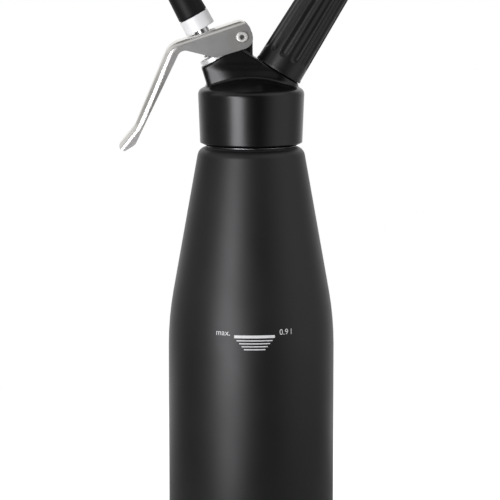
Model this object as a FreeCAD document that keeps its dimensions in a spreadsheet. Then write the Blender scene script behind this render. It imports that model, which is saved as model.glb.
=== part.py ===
import FreeCAD, Part
import math
import os
import re
import Sketcher

# Whipped cream dispenser of the one litre class: an aluminium bottle, a cast head that screws on
# its neck, a squeeze lever that pushes a sprung valve stem, a decorating nozzle, and a holder
# that screws a gas charger down on a piercing pin.
# Frame: origin on the bottle's axis at its standing plane, +Z up, +X towards the charger holder,
# -X towards the lever and the nozzle. Lengths are in millimetres and angles in degrees.

SIZES = [
    # bottle
    ("body_radius", 50.0),
    ("body_wall", 2.0),
    ("foot_corner_radius", 6.0),
    ("foot_ring_width", 7.0),
    ("punt_depth", 8.0),
    ("punt_run", 4.0),
    ("punt_corner_radius", 5.0),
    ("cylinder_height", 140.6),
    ("cone_height", 103.8),
    ("cone_angle", 10.17),
    ("cone_blend_radius", 187.0),
    ("shoulder_corner_radius", 6.0),
    ("shoulder_wall", 3.0),
    ("shoulder_inner_radius", 4.0),
    ("neck_radius", 26.0),
    ("neck_wall", 3.5),
    ("neck_length", 19.6),
    ("rim_edge_radius", 0.8),
    # head casting, with heights from the face that clamps the gasket
    ("gasket_thickness", 3.0),
    ("gasket_overlap", 0.2),
    ("thread_clearance", 0.3),
    ("collar_gap", 1.1),
    ("collar_foot_land", 1.0),
    ("collar_foot_height", 1.6),
    ("collar_foot_radius", 30.7),
    ("collar_radius", 31.9),
    ("collar_edge_radius", 4.0),
    ("collar_edge_rise", 11.3),
    ("dome_rise", 20.0),
    ("dome_corner_radius", 15.6),
    ("dome_radius", 44.0),
    ("recess_radius", 21.0),
    ("recess_depth", 6.0),
    ("boss_crease_radius", 2.5),
    # web that joins the boss, the lug and the flange
    ("web_width", 21.0),
    ("web_blend_radius", 20.0),
    ("web_edge_radius", 1.5),
    ("notch_radius", 3.5),
    # valve boss, with lengths along the tilted stem axis from the boss rim
    ("stem_tilt", 28.8),
    ("boss_x", -20.6),
    ("boss_rise", 30.4),
    ("boss_rim_radius", 10.8),
    ("boss_taper", 3.2),
    ("boss_length", 26.0),
    ("boss_edge_radius", 1.0),
    ("spot_face_margin", 0.6),
    ("guide_thread_radius", 8.5),
    ("guide_thread_depth", 9.0),
    ("guide_flange_radius", 9.9),
    ("guide_flange_thickness", 2.6),
    ("o_ring_depth", 4.0),
    ("o_ring_radius", 0.8),
    ("o_ring_groove_radius", 6.25),
    ("o_ring_groove_width", 2.0),
    ("chamber_radius", 6.0),
    ("seat_depth", 24.0),
    ("seat_pocket_radius", 9.0),
    ("seat_pocket_depth", 20.0),
    # valve stem and what rides on it
    ("stem_radius", 4.5),
    ("stem_bore_radius", 2.6),
    ("running_clearance", 0.05),
    ("cap_radius", 7.5),
    ("cap_dome_radius", 12.0),
    ("cap_thickness", 1.6),
    ("cap_clearance", 0.3),
    ("stem_port_radius", 1.8),
    ("stem_port_depth", 18.5),
    ("stem_floor_depth", 21.0),
    ("stem_tail_radius", 3.0),
    ("stem_tail_end", 0.6),
    ("seal_radius", 8.0),
    ("seal_thickness", 2.5),
    ("backing_radius", 7.5),
    ("backing_thickness", 1.5),
    ("tail_nut_across", 10.0),
    ("tail_nut_thickness", 3.0),
    ("spring_wire_radius", 0.6),
    ("spring_radius", 5.7),
    ("spring_turns", 4.5),
    # adapter and decorating nozzle
    ("adapter_clearance", 0.6),
    ("adapter_bore_radius", 3.0),
    ("adapter_height", 8.8),
    ("adapter_radius", 9.25),
    ("adapter_edge_radius", 0.5),
    ("adapter_socket_depth", 5.5),
    ("stub_radius", 6.5),
    ("stub_length", 8.0),
    ("nozzle_radius", 9.1),
    ("nozzle_edge_radius", 0.8),
    ("nozzle_gap", 0.3),
    ("nozzle_length", 52.0),
    ("nozzle_taper", 2.35),
    ("nozzle_wall", 1.5),
    ("nozzle_socket_depth", 9.5),
    ("crown_length", 13.0),
    ("crown_blend_radius", 9.0),
    ("crown_mouth_radius", 3.2),
    ("tooth_count", 8),
    ("tooth_depth", 11.0),
    ("tooth_gap", 2.4),
    ("tooth_edge_radius", 0.5),
    ("nozzle_seal_radius", 8.0),
    ("nozzle_seal_thickness", 1.2),
    # lever, with its outline measured from the pivot, along the top plate and square to it
    ("pivot_x", -5.9),
    ("pivot_rise", 43.7),
    ("pivot_radius", 2.5),
    ("lever_width", 27.0),
    ("lever_tongue_width", 19.0),
    ("taper_blend_radius", 60.0),
    ("lever_sheet", 2.0),
    ("lever_bend_radius", 4.0),
    ("plate_slope", 18.2),
    ("plate_offset", 9.33),
    ("plate_reach", 42.4),
    ("arm_drop", 48.8),
    ("arm_run", 52.9),
    ("arm_bend_radius", 12.0),
    ("tongue_drop", 32.5),
    ("tongue_run", 16.0),
    ("tongue_bend_radius", 15.0),
    ("tongue_depth", 4.6),
    ("tongue_edge_radius", 2.2),
    ("throat_set", 5.7),
    ("throat_depth", 4.8),
    ("throat_radius", 5.0),
    ("arm_inner_drop", 46.2),
    ("arm_inner_run", 63.2),
    ("arm_inner_radius", 6.0),
    ("cheek_reach", 18.7),
    ("cheek_drop", 6.8),
    ("cheek_radius", 5.0),
    ("nose_reach", 6.2),
    ("nose_drop", 7.3),
    ("nose_radius", 6.5),
    ("slot_width", 10.0),
    ("slot_length", 16.0),
    ("lug_radius", 6.5),
    ("lug_width", 19.0),
    ("lug_drop", 29.7),
    ("washer_radius", 5.0),
    ("washer_clearance", 0.15),
    ("screw_head_radius", 3.2),
    ("screw_head_height", 1.6),
    ("screw_edge_radius", 0.5),
    ("screw_socket_across", 3.0),
    ("screw_socket_depth", 1.0),
    ("cap_nut_across", 7.0),
    ("cap_nut_height", 2.6),
    ("cap_nut_dome", 2.0),
    ("screw_thread_length", 2.0),
    # charger stud and holder, with lengths along the tilted holder axis from the holder's foot
    ("holder_tilt", 31.5),
    ("holder_x", 16.2),
    ("holder_rise", 22.9),
    ("flange_radius", 14.5),
    ("flange_gap", 0.3),
    ("flange_length", 11.0),
    ("stud_radius", 10.5),
    ("stud_height", 12.0),
    ("stud_edge_radius", 0.8),
    ("stud_bore_radius", 4.7),
    ("pin_shank_radius", 3.0),
    ("pin_shank_length", 8.0),
    ("pin_flange_radius", 4.6),
    ("pin_flange_thickness", 1.2),
    ("needle_radius", 0.9),
    ("needle_length", 4.8),
    ("needle_point_length", 1.4),
    ("pin_tail_radius", 1.5),
    ("pin_tail_length", 7.0),
    ("sleeve_thickness", 1.2),
    ("gas_channel_radius", 1.6),
    ("gas_channel_length", 8.0),
    ("pin_seal_thickness", 2.0),
    ("needle_clearance", 0.2),
    ("charger_radius", 9.1),
    ("charger_length", 66.0),
    ("charger_neck_radius", 4.4),
    ("charger_neck_length", 9.4),
    ("charger_shoulder_length", 7.5),
    ("charger_wall", 1.7),
    ("charger_cap", 1.2),
    ("charger_end_radius", 8.9),
    ("charger_waist_radius", 3.0),
    ("holder_radius", 15.0),
    ("holder_taper", 1.4),
    ("holder_bore_clearance", 0.5),
    ("holder_top_wall", 8.3),
    ("holder_top_edge_radius", 7.0),
    ("holder_step", 0.3),
    ("holder_step_height", 1.5),
    ("insert_wall", 1.4),
    ("insert_length", 15.0),
    ("cushion_thickness", 2.5),
    ("flute_count", 12),
    ("flute_start", 7.9),
    ("flute_end_margin", 9.0),
    ("flute_tool_radius", 3.4),
    ("flute_depth", 1.3),
    ("flute_phase", 15.0),
]

doc = FreeCAD.newDocument("cream_dispenser")
sheet = doc.addObject("Spreadsheet::Sheet", "Sizes")
for row, (alias, size) in enumerate(SIZES, start=1):
    sheet.set(f"A{row}", alias)
    sheet.set(f"B{row}", str(size))
    sheet.setAlias(f"B{row}", alias)
doc.recompute()
ALIASES = {alias for alias, _ in SIZES}

# Heights and places that several sub-parts share, as expressions on the sheet.
SHOULDER = "(cylinder_height + cone_height)"
RIM = f"({SHOULDER} + neck_length)"
CEILING = f"({RIM} + gasket_thickness)"
COLLAR_FOOT = f"({SHOULDER} + collar_gap)"
STEM_AXIS = ("boss_x", f"{CEILING} + boss_rise", "-stem_tilt")
HOLDER_AXIS = ("holder_x", f"{CEILING} + holder_rise", "holder_tilt")
PIVOT_HEIGHT = f"({CEILING} + pivot_rise)"
LEVER_AXIS = ("pivot_x", PIVOT_HEIGHT, "-plate_slope")

# Places along the stem axis, from the boss rim. The lever's plate crosses the axis at an angle.
PLATE_LEAN = "(stem_tilt - plate_slope)"
PIVOT_LIFT = (
    "((pivot_rise - boss_rise) * cos(plate_slope) - (pivot_x - boss_x) * sin(plate_slope))"
)
PLATE_TOP = f"((plate_offset + {PIVOT_LIFT}) / cos({PLATE_LEAN}))"
ADAPTER_FOOT = f"({PLATE_TOP} + adapter_radius * tan({PLATE_LEAN}) + adapter_clearance)"
STEM_TOP = f"({ADAPTER_FOOT} + adapter_socket_depth)"
ADAPTER_TOP = f"({ADAPTER_FOOT} + adapter_height)"
CAP_REACH = "(sqrt(cap_dome_radius ^ 2 - slot_width ^ 2 / 4) + cap_clearance)"
CAP_CENTRE = f"((plate_offset - lever_sheet + {PIVOT_LIFT} - {CAP_REACH}) / cos({PLATE_LEAN}))"
CAP_EDGE = f"({CAP_CENTRE} + sqrt(cap_dome_radius ^ 2 - cap_radius ^ 2))"
CAP_FOOT = f"({CAP_EDGE} - cap_thickness)"
TAIL_SEAL = "(seat_depth + seal_thickness)"
TAIL_BACKING = f"({TAIL_SEAL} + backing_thickness)"
TAIL_NUT = f"({TAIL_BACKING} + tail_nut_thickness)"

# Places along the holder axis, from the holder's foot.
CHARGER_FOOT = "(pin_flange_thickness + pin_seal_thickness)"
CHARGER_TOP = f"({CHARGER_FOOT} + charger_length)"
HOLDER_BORE = "(charger_radius + holder_bore_clearance)"
INSERT_BORE = "(stud_radius + thread_clearance)"
INSERT_OUTSIDE = f"({INSERT_BORE} + insert_wall)"
HOLDER_CEILING = f"({CHARGER_TOP} + cushion_thickness)"
HOLDER_LENGTH = f"({HOLDER_CEILING} + holder_top_wall)"
SLEEVE_END = "(pin_shank_length + pin_tail_length)"


def bound(text):
    """The expression with the sheet's name in front of each of its aliases."""
    return re.sub(r"[a-z_]+", lambda m: f"Sizes.{m[0]}" if m[0] in ALIASES else m[0], str(text))


def value(text):
    return float(sheet.evalExpression(bound(text)))


def bind(thing, path, text):
    thing.setExpression(path, bound(text))


# ---------------------------------------------------------------- how the sub-parts are drawn


def new_body(label, axis=None, turn="0"):
    """A body. With an axis, (x, height, lean), it is modelled along its own +Z, turned about that,
    and stood on the axis in the XZ plane, where it leans towards +X by the angle."""
    body = doc.addObject("PartDesign::Body", label)
    body.Label = label
    if axis:
        x, height, lean = axis
        base = f"vector({x}; 0; {height})"
        bind(body, "Placement", f"placement({base}; rotation(0; {lean}; 0) * rotation({turn}; 0; 0))")
    return body


def new_sketch(body, name, role="XZ_Plane", axis=None, lift="0"):
    """A sketch on one of the body's origin planes. An axis, (x, height, lean), moves the sketch's
    origin there and leans its vertical towards +X; lift moves it along the plane's normal."""
    sketch = body.newObject("Sketcher::SketchObject", name)
    plane = next(p for p in body.Origin.OriginFeatures if p.Role == role)
    sketch.AttachmentSupport = [(plane, "")]
    sketch.MapMode = "FlatFace"
    x, height, lean = axis or ("0", "0", "0")
    offset = f"placement(vector({x}; {height}; {lift}); rotation(-({lean}); 0; 0))"
    bind(sketch, "AttachmentOffset", offset)
    return sketch


def fix_size(sketch, constraint, text):
    index = sketch.addConstraint(constraint)
    bind(sketch, f"Constraints[{index}]", text)


def fix_point(sketch, geometry, end, x, y):
    fix_size(sketch, Sketcher.Constraint("DistanceX", -1, 1, geometry, end, value(x)), x)
    fix_size(sketch, Sketcher.Constraint("DistanceY", -1, 1, geometry, end, value(y)), y)


def draw_circle(sketch, x, y, radius):
    middle = FreeCAD.Vector(value(x), value(y), 0)
    circle = sketch.addGeometry(Part.Circle(middle, FreeCAD.Vector(0, 0, 1), value(radius)))
    fix_point(sketch, circle, 3, x, y)
    fix_size(sketch, Sketcher.Constraint("Radius", circle, value(radius)), radius)


def limited_radii(points, radii):
    """Each corner's radius, made smaller where the two sides of the corner are too short for it."""
    count = len(points)
    reach = []
    for i, corner in enumerate(points):
        half = (points[i - 1] - corner).getAngle(points[(i + 1) % count] - corner) / 2
        reach.append(radii[i] / math.tan(half))
    limited = []
    for i, corner in enumerate(points):
        after = (i + 1) % count
        room_before = (points[i - 1] - corner).Length / max(reach[i - 1] + reach[i], 1e-9)
        room_after = (points[after] - corner).Length / max(reach[after] + reach[i], 1e-9)
        limited.append(radii[i] * min(1.0, 0.98 * room_before, 0.98 * room_after))
    return limited


def draw_outline(sketch, corners):
    """A closed outline through its corners, each (x, y) or (x, y, radius) as expressions. A
    rounded corner keeps its corner point, which carries the two distances."""
    points = [FreeCAD.Vector(value(c[0]), value(c[1]), 0) for c in corners]
    radii = limited_radii(points, [value(c[2]) if len(c) > 2 else 0 for c in corners])
    count = len(corners)
    lines = sketch.GeometryCount
    enters, leaves, centres = [], [], []
    for i, corner in enumerate(points):
        back = (points[i - 1] - corner).normalize()
        ahead = (points[(i + 1) % count] - corner).normalize()
        half = back.getAngle(ahead) / 2
        enters.append(corner + back * (radii[i] / math.tan(half)))
        leaves.append(corner + ahead * (radii[i] / math.tan(half)))
        centres.append(corner + (back + ahead).normalize() * (radii[i] / math.sin(half)))
    for i in range(count):
        sketch.addGeometry(Part.LineSegment(leaves[i], enters[(i + 1) % count]))
    for i, corner in enumerate(corners):
        before, after = lines + (i - 1) % count, lines + i
        if radii[i]:
            left_turn = (enters[i] - centres[i]).cross(leaves[i] - centres[i]).z > 0
            ends = (enters[i], leaves[i]) if left_turn else (leaves[i], enters[i])
            angles = [math.atan2(p.y - centres[i].y, p.x - centres[i].x) for p in ends]
            circle = Part.Circle(centres[i], FreeCAD.Vector(0, 0, 1), radii[i])
            arc = sketch.addGeometry(Part.ArcOfCircle(circle, *angles))
            mark = sketch.addGeometry(Part.Point(points[i]), True)
            first, last = (1, 2) if left_turn else (2, 1)
            sketch.addConstraint(Sketcher.Constraint("Tangent", before, 2, arc, first))
            sketch.addConstraint(Sketcher.Constraint("Tangent", arc, last, after, 1))
            sketch.addConstraint(Sketcher.Constraint("PointOnObject", mark, 1, before))
            sketch.addConstraint(Sketcher.Constraint("PointOnObject", mark, 1, after))
            share = radii[i] / value(corner[2])
            fix_size(sketch, Sketcher.Constraint("Radius", arc, radii[i]), f"({corner[2]}) * {share}")
            fix_point(sketch, mark, 1, corner[0], corner[1])
        else:
            sketch.addConstraint(Sketcher.Constraint("Coincident", before, 2, after, 1))
            fix_point(sketch, after, 1, corner[0], corner[1])


def volume(body):
    return 0 if body.Shape.isNull() else body.Shape.Volume


def check_change(body, feature, before, cut):
    """Raises unless the new feature took material away, for a cut, or added some."""
    doc.recompute()
    change = volume(body) - before
    if (change >= 0) if cut else (change <= 0):
        raise RuntimeError(f"{feature.Name} on {body.Label} changed the volume by {change}")


def spin(body, name, corners, axis=None, cut=False):
    """A solid, or a cut, revolved about the sketch's own vertical."""
    before = volume(body)
    sketch = new_sketch(body, f"{name}_profile", axis=axis)
    draw_outline(sketch, corners)
    feature = body.newObject("PartDesign::Groove" if cut else "PartDesign::Revolution", name)
    feature.Profile = sketch
    feature.ReferenceAxis = (sketch, ["V_Axis"])
    feature.Angle = 360
    check_change(body, feature, before, cut)
    return feature


def extrude(body, name, sketch, length, cut=False, both_ways=False, reverse=False):
    """A pad, or a pocket, of the sketch."""
    before = volume(body)
    feature = body.newObject("PartDesign::Pocket" if cut else "PartDesign::Pad", name)
    feature.Profile = sketch
    feature.Midplane = both_ways
    feature.Reversed = reverse
    bind(feature, "Length", length)
    check_change(body, feature, before, cut)
    return feature


def repeat(body, name, cut_feature, upright_sketch, count):
    """The cut repeated about the vertical of the sketch."""
    before = volume(body)
    pattern = body.newObject("PartDesign::PolarPattern", name)
    pattern.Originals = [cut_feature]
    pattern.Axis = (upright_sketch, ["V_Axis"])
    pattern.Angle = 360
    bind(pattern, "Occurrences", count)
    body.Tip = pattern
    check_change(body, pattern, before, cut=True)


def round_edges(body, name, radius, chosen):
    """A fillet on the edges of the body's shape that the test chooses."""
    tip = body.Tip
    names = [f"Edge{i}" for i, edge in enumerate(tip.Shape.Edges, start=1) if chosen(edge)]
    fillet = body.newObject("PartDesign::Fillet", name)
    fillet.Base = (tip, names)
    bind(fillet, "Radius", radius)
    doc.recompute()
    if not names or fillet.Shape.isNull() or not fillet.Shape.isValid():
        raise RuntimeError(f"{name} on {body.Label} failed on {names}")


def ring(inner, outer, foot, top):
    return [(inner, foot), (outer, foot), (outer, top), (inner, top)]


def hexagon(across):
    corner = f"{across} / 2 / cos(30)"
    return [(f"{corner} * cos({angle})", f"{corner} * sin({angle})") for angle in range(0, 360, 60)]


# ---------------------------------------------------------------- bottle


def make_bottle():
    body = new_body("bottle")
    foot = "(body_radius - foot_corner_radius - foot_ring_width)"
    lean = "(punt_run / punt_depth)"
    floor_shift = f"body_wall * (sqrt(1 + {lean} ^ 2) - {lean})"
    cone_top = "(body_radius - cone_height * tan(cone_angle))"
    inner_top = f"({SHOULDER} - shoulder_wall)"
    inner_cone = f"({cone_top} + shoulder_wall * tan(cone_angle) - body_wall / cos(cone_angle))"
    spin(body, "shell", [
        ("0", "punt_depth"),
        (f"{foot} - punt_run", "punt_depth", "punt_corner_radius"),
        (foot, "0"),
        ("body_radius", "0", "foot_corner_radius"),
        ("body_radius", "cylinder_height", "cone_blend_radius"),
        (cone_top, SHOULDER, "shoulder_corner_radius"),
        ("neck_radius", SHOULDER),
        ("neck_radius", RIM, "rim_edge_radius"),
        ("neck_radius - neck_wall", RIM, "rim_edge_radius"),
        ("neck_radius - neck_wall", inner_top, "rim_edge_radius"),
        (inner_cone, inner_top, "shoulder_inner_radius"),
        (
            "body_radius - body_wall",
            "cylinder_height - body_wall * tan(cone_angle / 2)",
            "cone_blend_radius - body_wall",
        ),
        ("body_radius - body_wall", "body_wall", "foot_corner_radius - body_wall"),
        (f"{foot} + {floor_shift}", "body_wall"),
        (
            f"{foot} - punt_run + {floor_shift}",
            "punt_depth + body_wall",
            "punt_corner_radius + body_wall",
        ),
        ("0", "punt_depth + body_wall"),
    ])
    return body


def make_head_gasket():
    body = new_body("head_gasket")
    spin(body, "seal", ring("neck_radius - neck_wall - gasket_overlap", "neck_radius", RIM, CEILING))
    return body


# ---------------------------------------------------------------- head casting


def down_axis(axis, depth):
    """The point that lies the depth down a leaning axis."""
    x, height, lean = axis
    return f"{x} - {depth} * sin({lean})", f"{height} - {depth} * cos({lean})"


def make_web():
    """The solid that fills the corner between the boss, the lug and the flange: as narrow as the
    lever allows on the boss's side, and as wide as the flange at the flange."""
    body = new_body("head_web")
    lug_side = "(pivot_x + lug_radius)"
    notch = f"holder_rise - flange_gap / cos(holder_tilt) + (holder_x - {lug_side}) * tan(holder_tilt)"
    side = new_sketch(body, "web_profile")
    draw_outline(side, [
        down_axis(STEM_AXIS, "0"),
        down_axis(STEM_AXIS, "boss_length"),
        down_axis(HOLDER_AXIS, "(flange_gap + flange_length)"),
        down_axis(HOLDER_AXIS, "flange_gap"),
        (lug_side, f"{CEILING} + {notch}", "notch_radius"),
        (lug_side, f"{PIVOT_HEIGHT} - lug_radius"),
        ("pivot_x - lug_radius", f"{PIVOT_HEIGHT} - lug_radius"),
    ])
    extrude(body, "web", side, "2 * flange_radius", both_ways=True)
    plan = new_sketch(body, "web_plan", "XY_Plane")
    for way in ("1", "-1"):
        corners = [
            ("holder_x", f"{way} * flange_radius"),
            ("holder_x", f"{way} * 2 * flange_radius"),
            ("2 * boss_x", f"{way} * 2 * flange_radius"),
            ("2 * boss_x", f"{way} * web_width / 2"),
            (lug_side, f"{way} * web_width / 2", "web_blend_radius"),
        ]
        draw_outline(plan, corners if way == "1" else corners[::-1])
    extrude(body, "web_sides", plan, f"3 * {CEILING}", cut=True, both_ways=True)

    def by_notch(edge):
        ends = [vertex.Point for vertex in edge.Vertexes]
        narrow = value("web_width") / 2 - 0.01
        foot = value(down_axis(HOLDER_AXIS, "flange_gap")[1]) - 0.01
        left = value(lug_side) - 0.01
        return all(abs(p.y) > narrow and p.z > foot and p.x > left for p in ends)

    round_edges(body, "web_edges", "web_edge_radius", by_notch)
    return body


def on_boss_crease(edge):
    """Whether the edge is the free curve where the boss runs into the dome."""
    return edge.Curve.TypeId == "Part::GeomBSplineCurve"


def make_head():
    """One casting: a threaded collar under a low dome, the tilted valve boss, the lug that
    carries the lever, and the tilted stud for the charger holder with its flange."""
    body = new_body("head")
    bore = "(neck_radius + thread_clearance)"
    spin(body, "dome", [
        (bore, COLLAR_FOOT),
        (f"{bore} + collar_foot_land", COLLAR_FOOT),
        ("collar_foot_radius", f"{COLLAR_FOOT} + collar_foot_height"),
        ("collar_radius", f"{CEILING} + collar_edge_rise", "collar_edge_radius"),
        ("dome_corner_radius", f"{CEILING} + dome_rise", "dome_radius"),
        ("0", f"{CEILING} + dome_rise"),
        ("0", f"{CEILING} + recess_depth"),
        ("recess_radius", f"{CEILING} + recess_depth"),
        ("recess_radius", CEILING),
        (bore, CEILING),
    ])
    spin(body, "boss", [
        ("0", "0"),
        ("0", "-boss_length"),
        ("boss_rim_radius + boss_length * tan(boss_taper)", "-boss_length"),
        ("boss_rim_radius", "0", "boss_edge_radius"),
    ], STEM_AXIS)
    round_edges(body, "boss_crease", "boss_crease_radius", on_boss_crease)
    spin(body, "flange", [
        ("0", "-flange_gap"),
        ("0", "-flange_gap - flange_length"),
        ("flange_radius", "-flange_gap - flange_length"),
        ("flange_radius", "-flange_gap", "stud_edge_radius"),
    ], HOLDER_AXIS)
    web = make_web()
    before = volume(body)
    joined = body.newObject("PartDesign::Boolean", "joined_web")
    joined.Type = "Fuse"
    joined.setObjects([web])
    check_change(body, joined, before, cut=False)
    spin(body, "stud", [
        ("0", "-flange_gap - flange_length / 2"),
        ("stud_radius", "-flange_gap - flange_length / 2"),
        ("stud_radius", "stud_height", "stud_edge_radius"),
        ("0", "stud_height"),
    ], HOLDER_AXIS)

    lug = new_sketch(body, "lug_profile")
    draw_outline(lug, [
        ("pivot_x + lug_radius", f"{PIVOT_HEIGHT} - lug_drop"),
        ("pivot_x + lug_radius", f"{PIVOT_HEIGHT} + lug_radius", "lug_radius"),
        ("pivot_x - lug_radius", f"{PIVOT_HEIGHT} + lug_radius", "lug_radius"),
        ("pivot_x - lug_radius", f"{PIVOT_HEIGHT} - lug_drop"),
    ])
    extrude(body, "lug", lug, "lug_width", both_ways=True)
    clear = "boss_rim_radius + spot_face_margin"
    spin(body, "spot_face", ring("0", clear, "0", "cap_dome_radius + pivot_rise"), STEM_AXIS, cut=True)

    # The stem's passage: the guide nut's thread, the chamber, and the pocket round the seat.
    spin(body, "valve_passage", [
        ("0", "boss_edge_radius"),
        ("guide_thread_radius", "boss_edge_radius"),
        ("guide_thread_radius", "-guide_thread_depth"),
        ("chamber_radius", "-guide_thread_depth"),
        ("chamber_radius", "-seat_depth"),
        ("seat_pocket_radius", "-seat_depth"),
        ("seat_pocket_radius", "-seat_depth - seat_pocket_depth"),
        ("0", "-seat_depth - seat_pocket_depth"),
    ], STEM_AXIS, cut=True)

    # The gas passage: the charger's mouth, the pin's shank and sleeve, and the channel down.
    spin(body, "gas_passage", [
        ("0", "stud_height + stud_edge_radius"),
        ("stud_bore_radius", "stud_height + stud_edge_radius"),
        ("stud_bore_radius", "0"),
        ("pin_shank_radius", "0"),
        ("pin_shank_radius", f"-{SLEEVE_END} - gas_channel_radius"),
        ("gas_channel_radius", f"-{SLEEVE_END} - gas_channel_radius"),
        ("gas_channel_radius", f"-{SLEEVE_END} - gas_channel_length"),
        ("0", f"-{SLEEVE_END} - gas_channel_length"),
    ], HOLDER_AXIS, cut=True)

    pivot = new_sketch(body, "pivot_hole_profile")
    draw_circle(pivot, "pivot_x", PIVOT_HEIGHT, "pivot_radius + running_clearance")
    extrude(body, "pivot_hole", pivot, "lug_width + lug_radius", cut=True, both_ways=True)
    return body


# ---------------------------------------------------------------- valve


def make_stem_guide_nut():
    body = new_body("stem_guide_nut", STEM_AXIS)
    bore = "stem_radius + running_clearance"
    groove_top = "-o_ring_depth + o_ring_groove_width / 2"
    spin(body, "nut", [
        (bore, "-guide_thread_depth"),
        ("guide_thread_radius", "-guide_thread_depth"),
        ("guide_thread_radius", "0"),
        ("guide_flange_radius", "0"),
        ("guide_flange_radius", "guide_flange_thickness", "adapter_edge_radius"),
        (bore, "guide_flange_thickness"),
        (bore, groove_top),
        ("o_ring_groove_radius", groove_top),
        ("o_ring_groove_radius", f"{groove_top} - o_ring_groove_width"),
        (bore, f"{groove_top} - o_ring_groove_width"),
    ])
    return body


def make_stem_o_ring():
    body = new_body("stem_o_ring", STEM_AXIS)
    profile = new_sketch(body, "cord_section")
    draw_circle(profile, "o_ring_groove_radius - o_ring_radius", "-o_ring_depth", "o_ring_radius")
    torus = body.newObject("PartDesign::Revolution", "cord")
    torus.Profile = profile
    torus.ReferenceAxis = (profile, ["V_Axis"])
    torus.Angle = 360
    return body


def make_valve_spring():
    body = new_body("valve_spring", STEM_AXIS)
    profile = new_sketch(body, "wire_section")
    foot = "guide_flange_thickness + spring_wire_radius"
    draw_circle(profile, "spring_radius", foot, "spring_wire_radius")
    coil = body.newObject("PartDesign::AdditiveHelix", "coil")
    coil.Profile = profile
    coil.ReferenceAxis = (profile, ["V_Axis"])
    coil.Mode = "height-turns-angle"
    bind(coil, "Height", f"{CAP_FOOT} - guide_flange_thickness - 2 * spring_wire_radius")
    bind(coil, "Turns", "spring_turns")
    return body


def make_valve_stem():
    """A tube with a domed cap that the lever's plate presses, cross ports low down, and a solid
    threaded tail for the seal."""
    body = new_body("valve_stem", STEM_AXIS)
    spin(body, "tube", [
        ("0", f"-{TAIL_NUT} - stem_tail_end"),
        ("stem_tail_radius", f"-{TAIL_NUT} - stem_tail_end"),
        ("stem_tail_radius", "-seat_depth"),
        ("stem_radius", "-seat_depth"),
        ("stem_radius", STEM_TOP),
        ("stem_bore_radius", STEM_TOP),
        ("stem_bore_radius", "-stem_floor_depth"),
        ("0", "-stem_floor_depth"),
    ])
    cap = new_sketch(body, "cap_profile")
    centre = FreeCAD.Vector(0, value(CAP_CENTRE), 0)
    dome = value("cap_dome_radius")
    inner = "(stem_radius - running_clearance)"
    edge_angle = math.acos(value("cap_radius") / dome)
    top_angle = math.acos(value(inner) / dome)
    circle = Part.Circle(centre, FreeCAD.Vector(0, 0, 1), dome)
    cap.addGeometry(Part.ArcOfCircle(circle, edge_angle, top_angle))
    edge = FreeCAD.Vector(value("cap_radius"), value(CAP_EDGE), 0)
    foot = FreeCAD.Vector(edge.x, value(CAP_FOOT), 0)
    inner_foot = FreeCAD.Vector(value(inner), foot.y, 0)
    inner_top = FreeCAD.Vector(inner_foot.x, centre.y + dome * math.sin(top_angle), 0)
    for start, end in [(inner_top, inner_foot), (inner_foot, foot), (foot, edge)]:
        cap.addGeometry(Part.LineSegment(start, end))
    for line, after in [(1, 2), (2, 3)]:
        cap.addConstraint(Sketcher.Constraint("Coincident", line, 2, after, 1))
    cap.addConstraint(Sketcher.Constraint("Coincident", 3, 2, 0, 1))
    cap.addConstraint(Sketcher.Constraint("Coincident", 0, 2, 1, 1))
    cap.addConstraint(Sketcher.Constraint("Vertical", 1))
    fix_point(cap, 0, 3, "0", CAP_CENTRE)
    fix_size(cap, Sketcher.Constraint("Radius", 0, dome), "cap_dome_radius")
    fix_point(cap, 2, 1, inner, CAP_FOOT)
    fix_point(cap, 3, 1, "cap_radius", CAP_FOOT)
    cap.addConstraint(Sketcher.Constraint("Vertical", 3))
    before = volume(body)
    flange = body.newObject("PartDesign::Revolution", "cap")
    flange.Profile = cap
    flange.ReferenceAxis = (cap, ["V_Axis"])
    flange.Angle = 360
    check_change(body, flange, before, cut=False)
    port = new_sketch(body, "port_profile")
    draw_circle(port, "0", "-stem_port_depth", "stem_port_radius")
    extrude(body, "ports", port, "3 * stem_radius", cut=True, both_ways=True)
    return body


def make_tail_ring(label, outer, start, end):
    body = new_body(label, STEM_AXIS)
    spin(body, "disc", ring("stem_tail_radius", outer, f"-{end}", f"-{start}"))
    return body


def make_seal_nut():
    body = new_body("seal_nut", STEM_AXIS)
    outline = new_sketch(body, "nut_outline", "XY_Plane", lift=f"-{TAIL_NUT}")
    draw_outline(outline, hexagon("tail_nut_across"))
    draw_circle(outline, "0", "0", "stem_tail_radius")
    extrude(body, "nut", outline, "tail_nut_thickness")
    return body


# ---------------------------------------------------------------- adapter and nozzle


def make_nozzle_adapter():
    body = new_body("nozzle_adapter", STEM_AXIS)
    spin(body, "adapter", [
        ("stem_radius", ADAPTER_FOOT),
        ("adapter_radius", ADAPTER_FOOT, "adapter_edge_radius"),
        ("adapter_radius", ADAPTER_TOP, "adapter_edge_radius"),
        ("stub_radius", ADAPTER_TOP),
        ("stub_radius", f"{ADAPTER_TOP} + stub_length", "adapter_edge_radius"),
        ("adapter_bore_radius", f"{ADAPTER_TOP} + stub_length"),
        ("adapter_bore_radius", STEM_TOP),
        ("stem_radius", STEM_TOP),
    ])
    return body


def make_nozzle_seal():
    body = new_body("nozzle_seal", STEM_AXIS)
    top = f"{ADAPTER_TOP} + nozzle_seal_thickness"
    inner = "stub_radius + thread_clearance"
    spin(body, "seal", ring(inner, "nozzle_seal_radius", ADAPTER_TOP, top))
    return body


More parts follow.
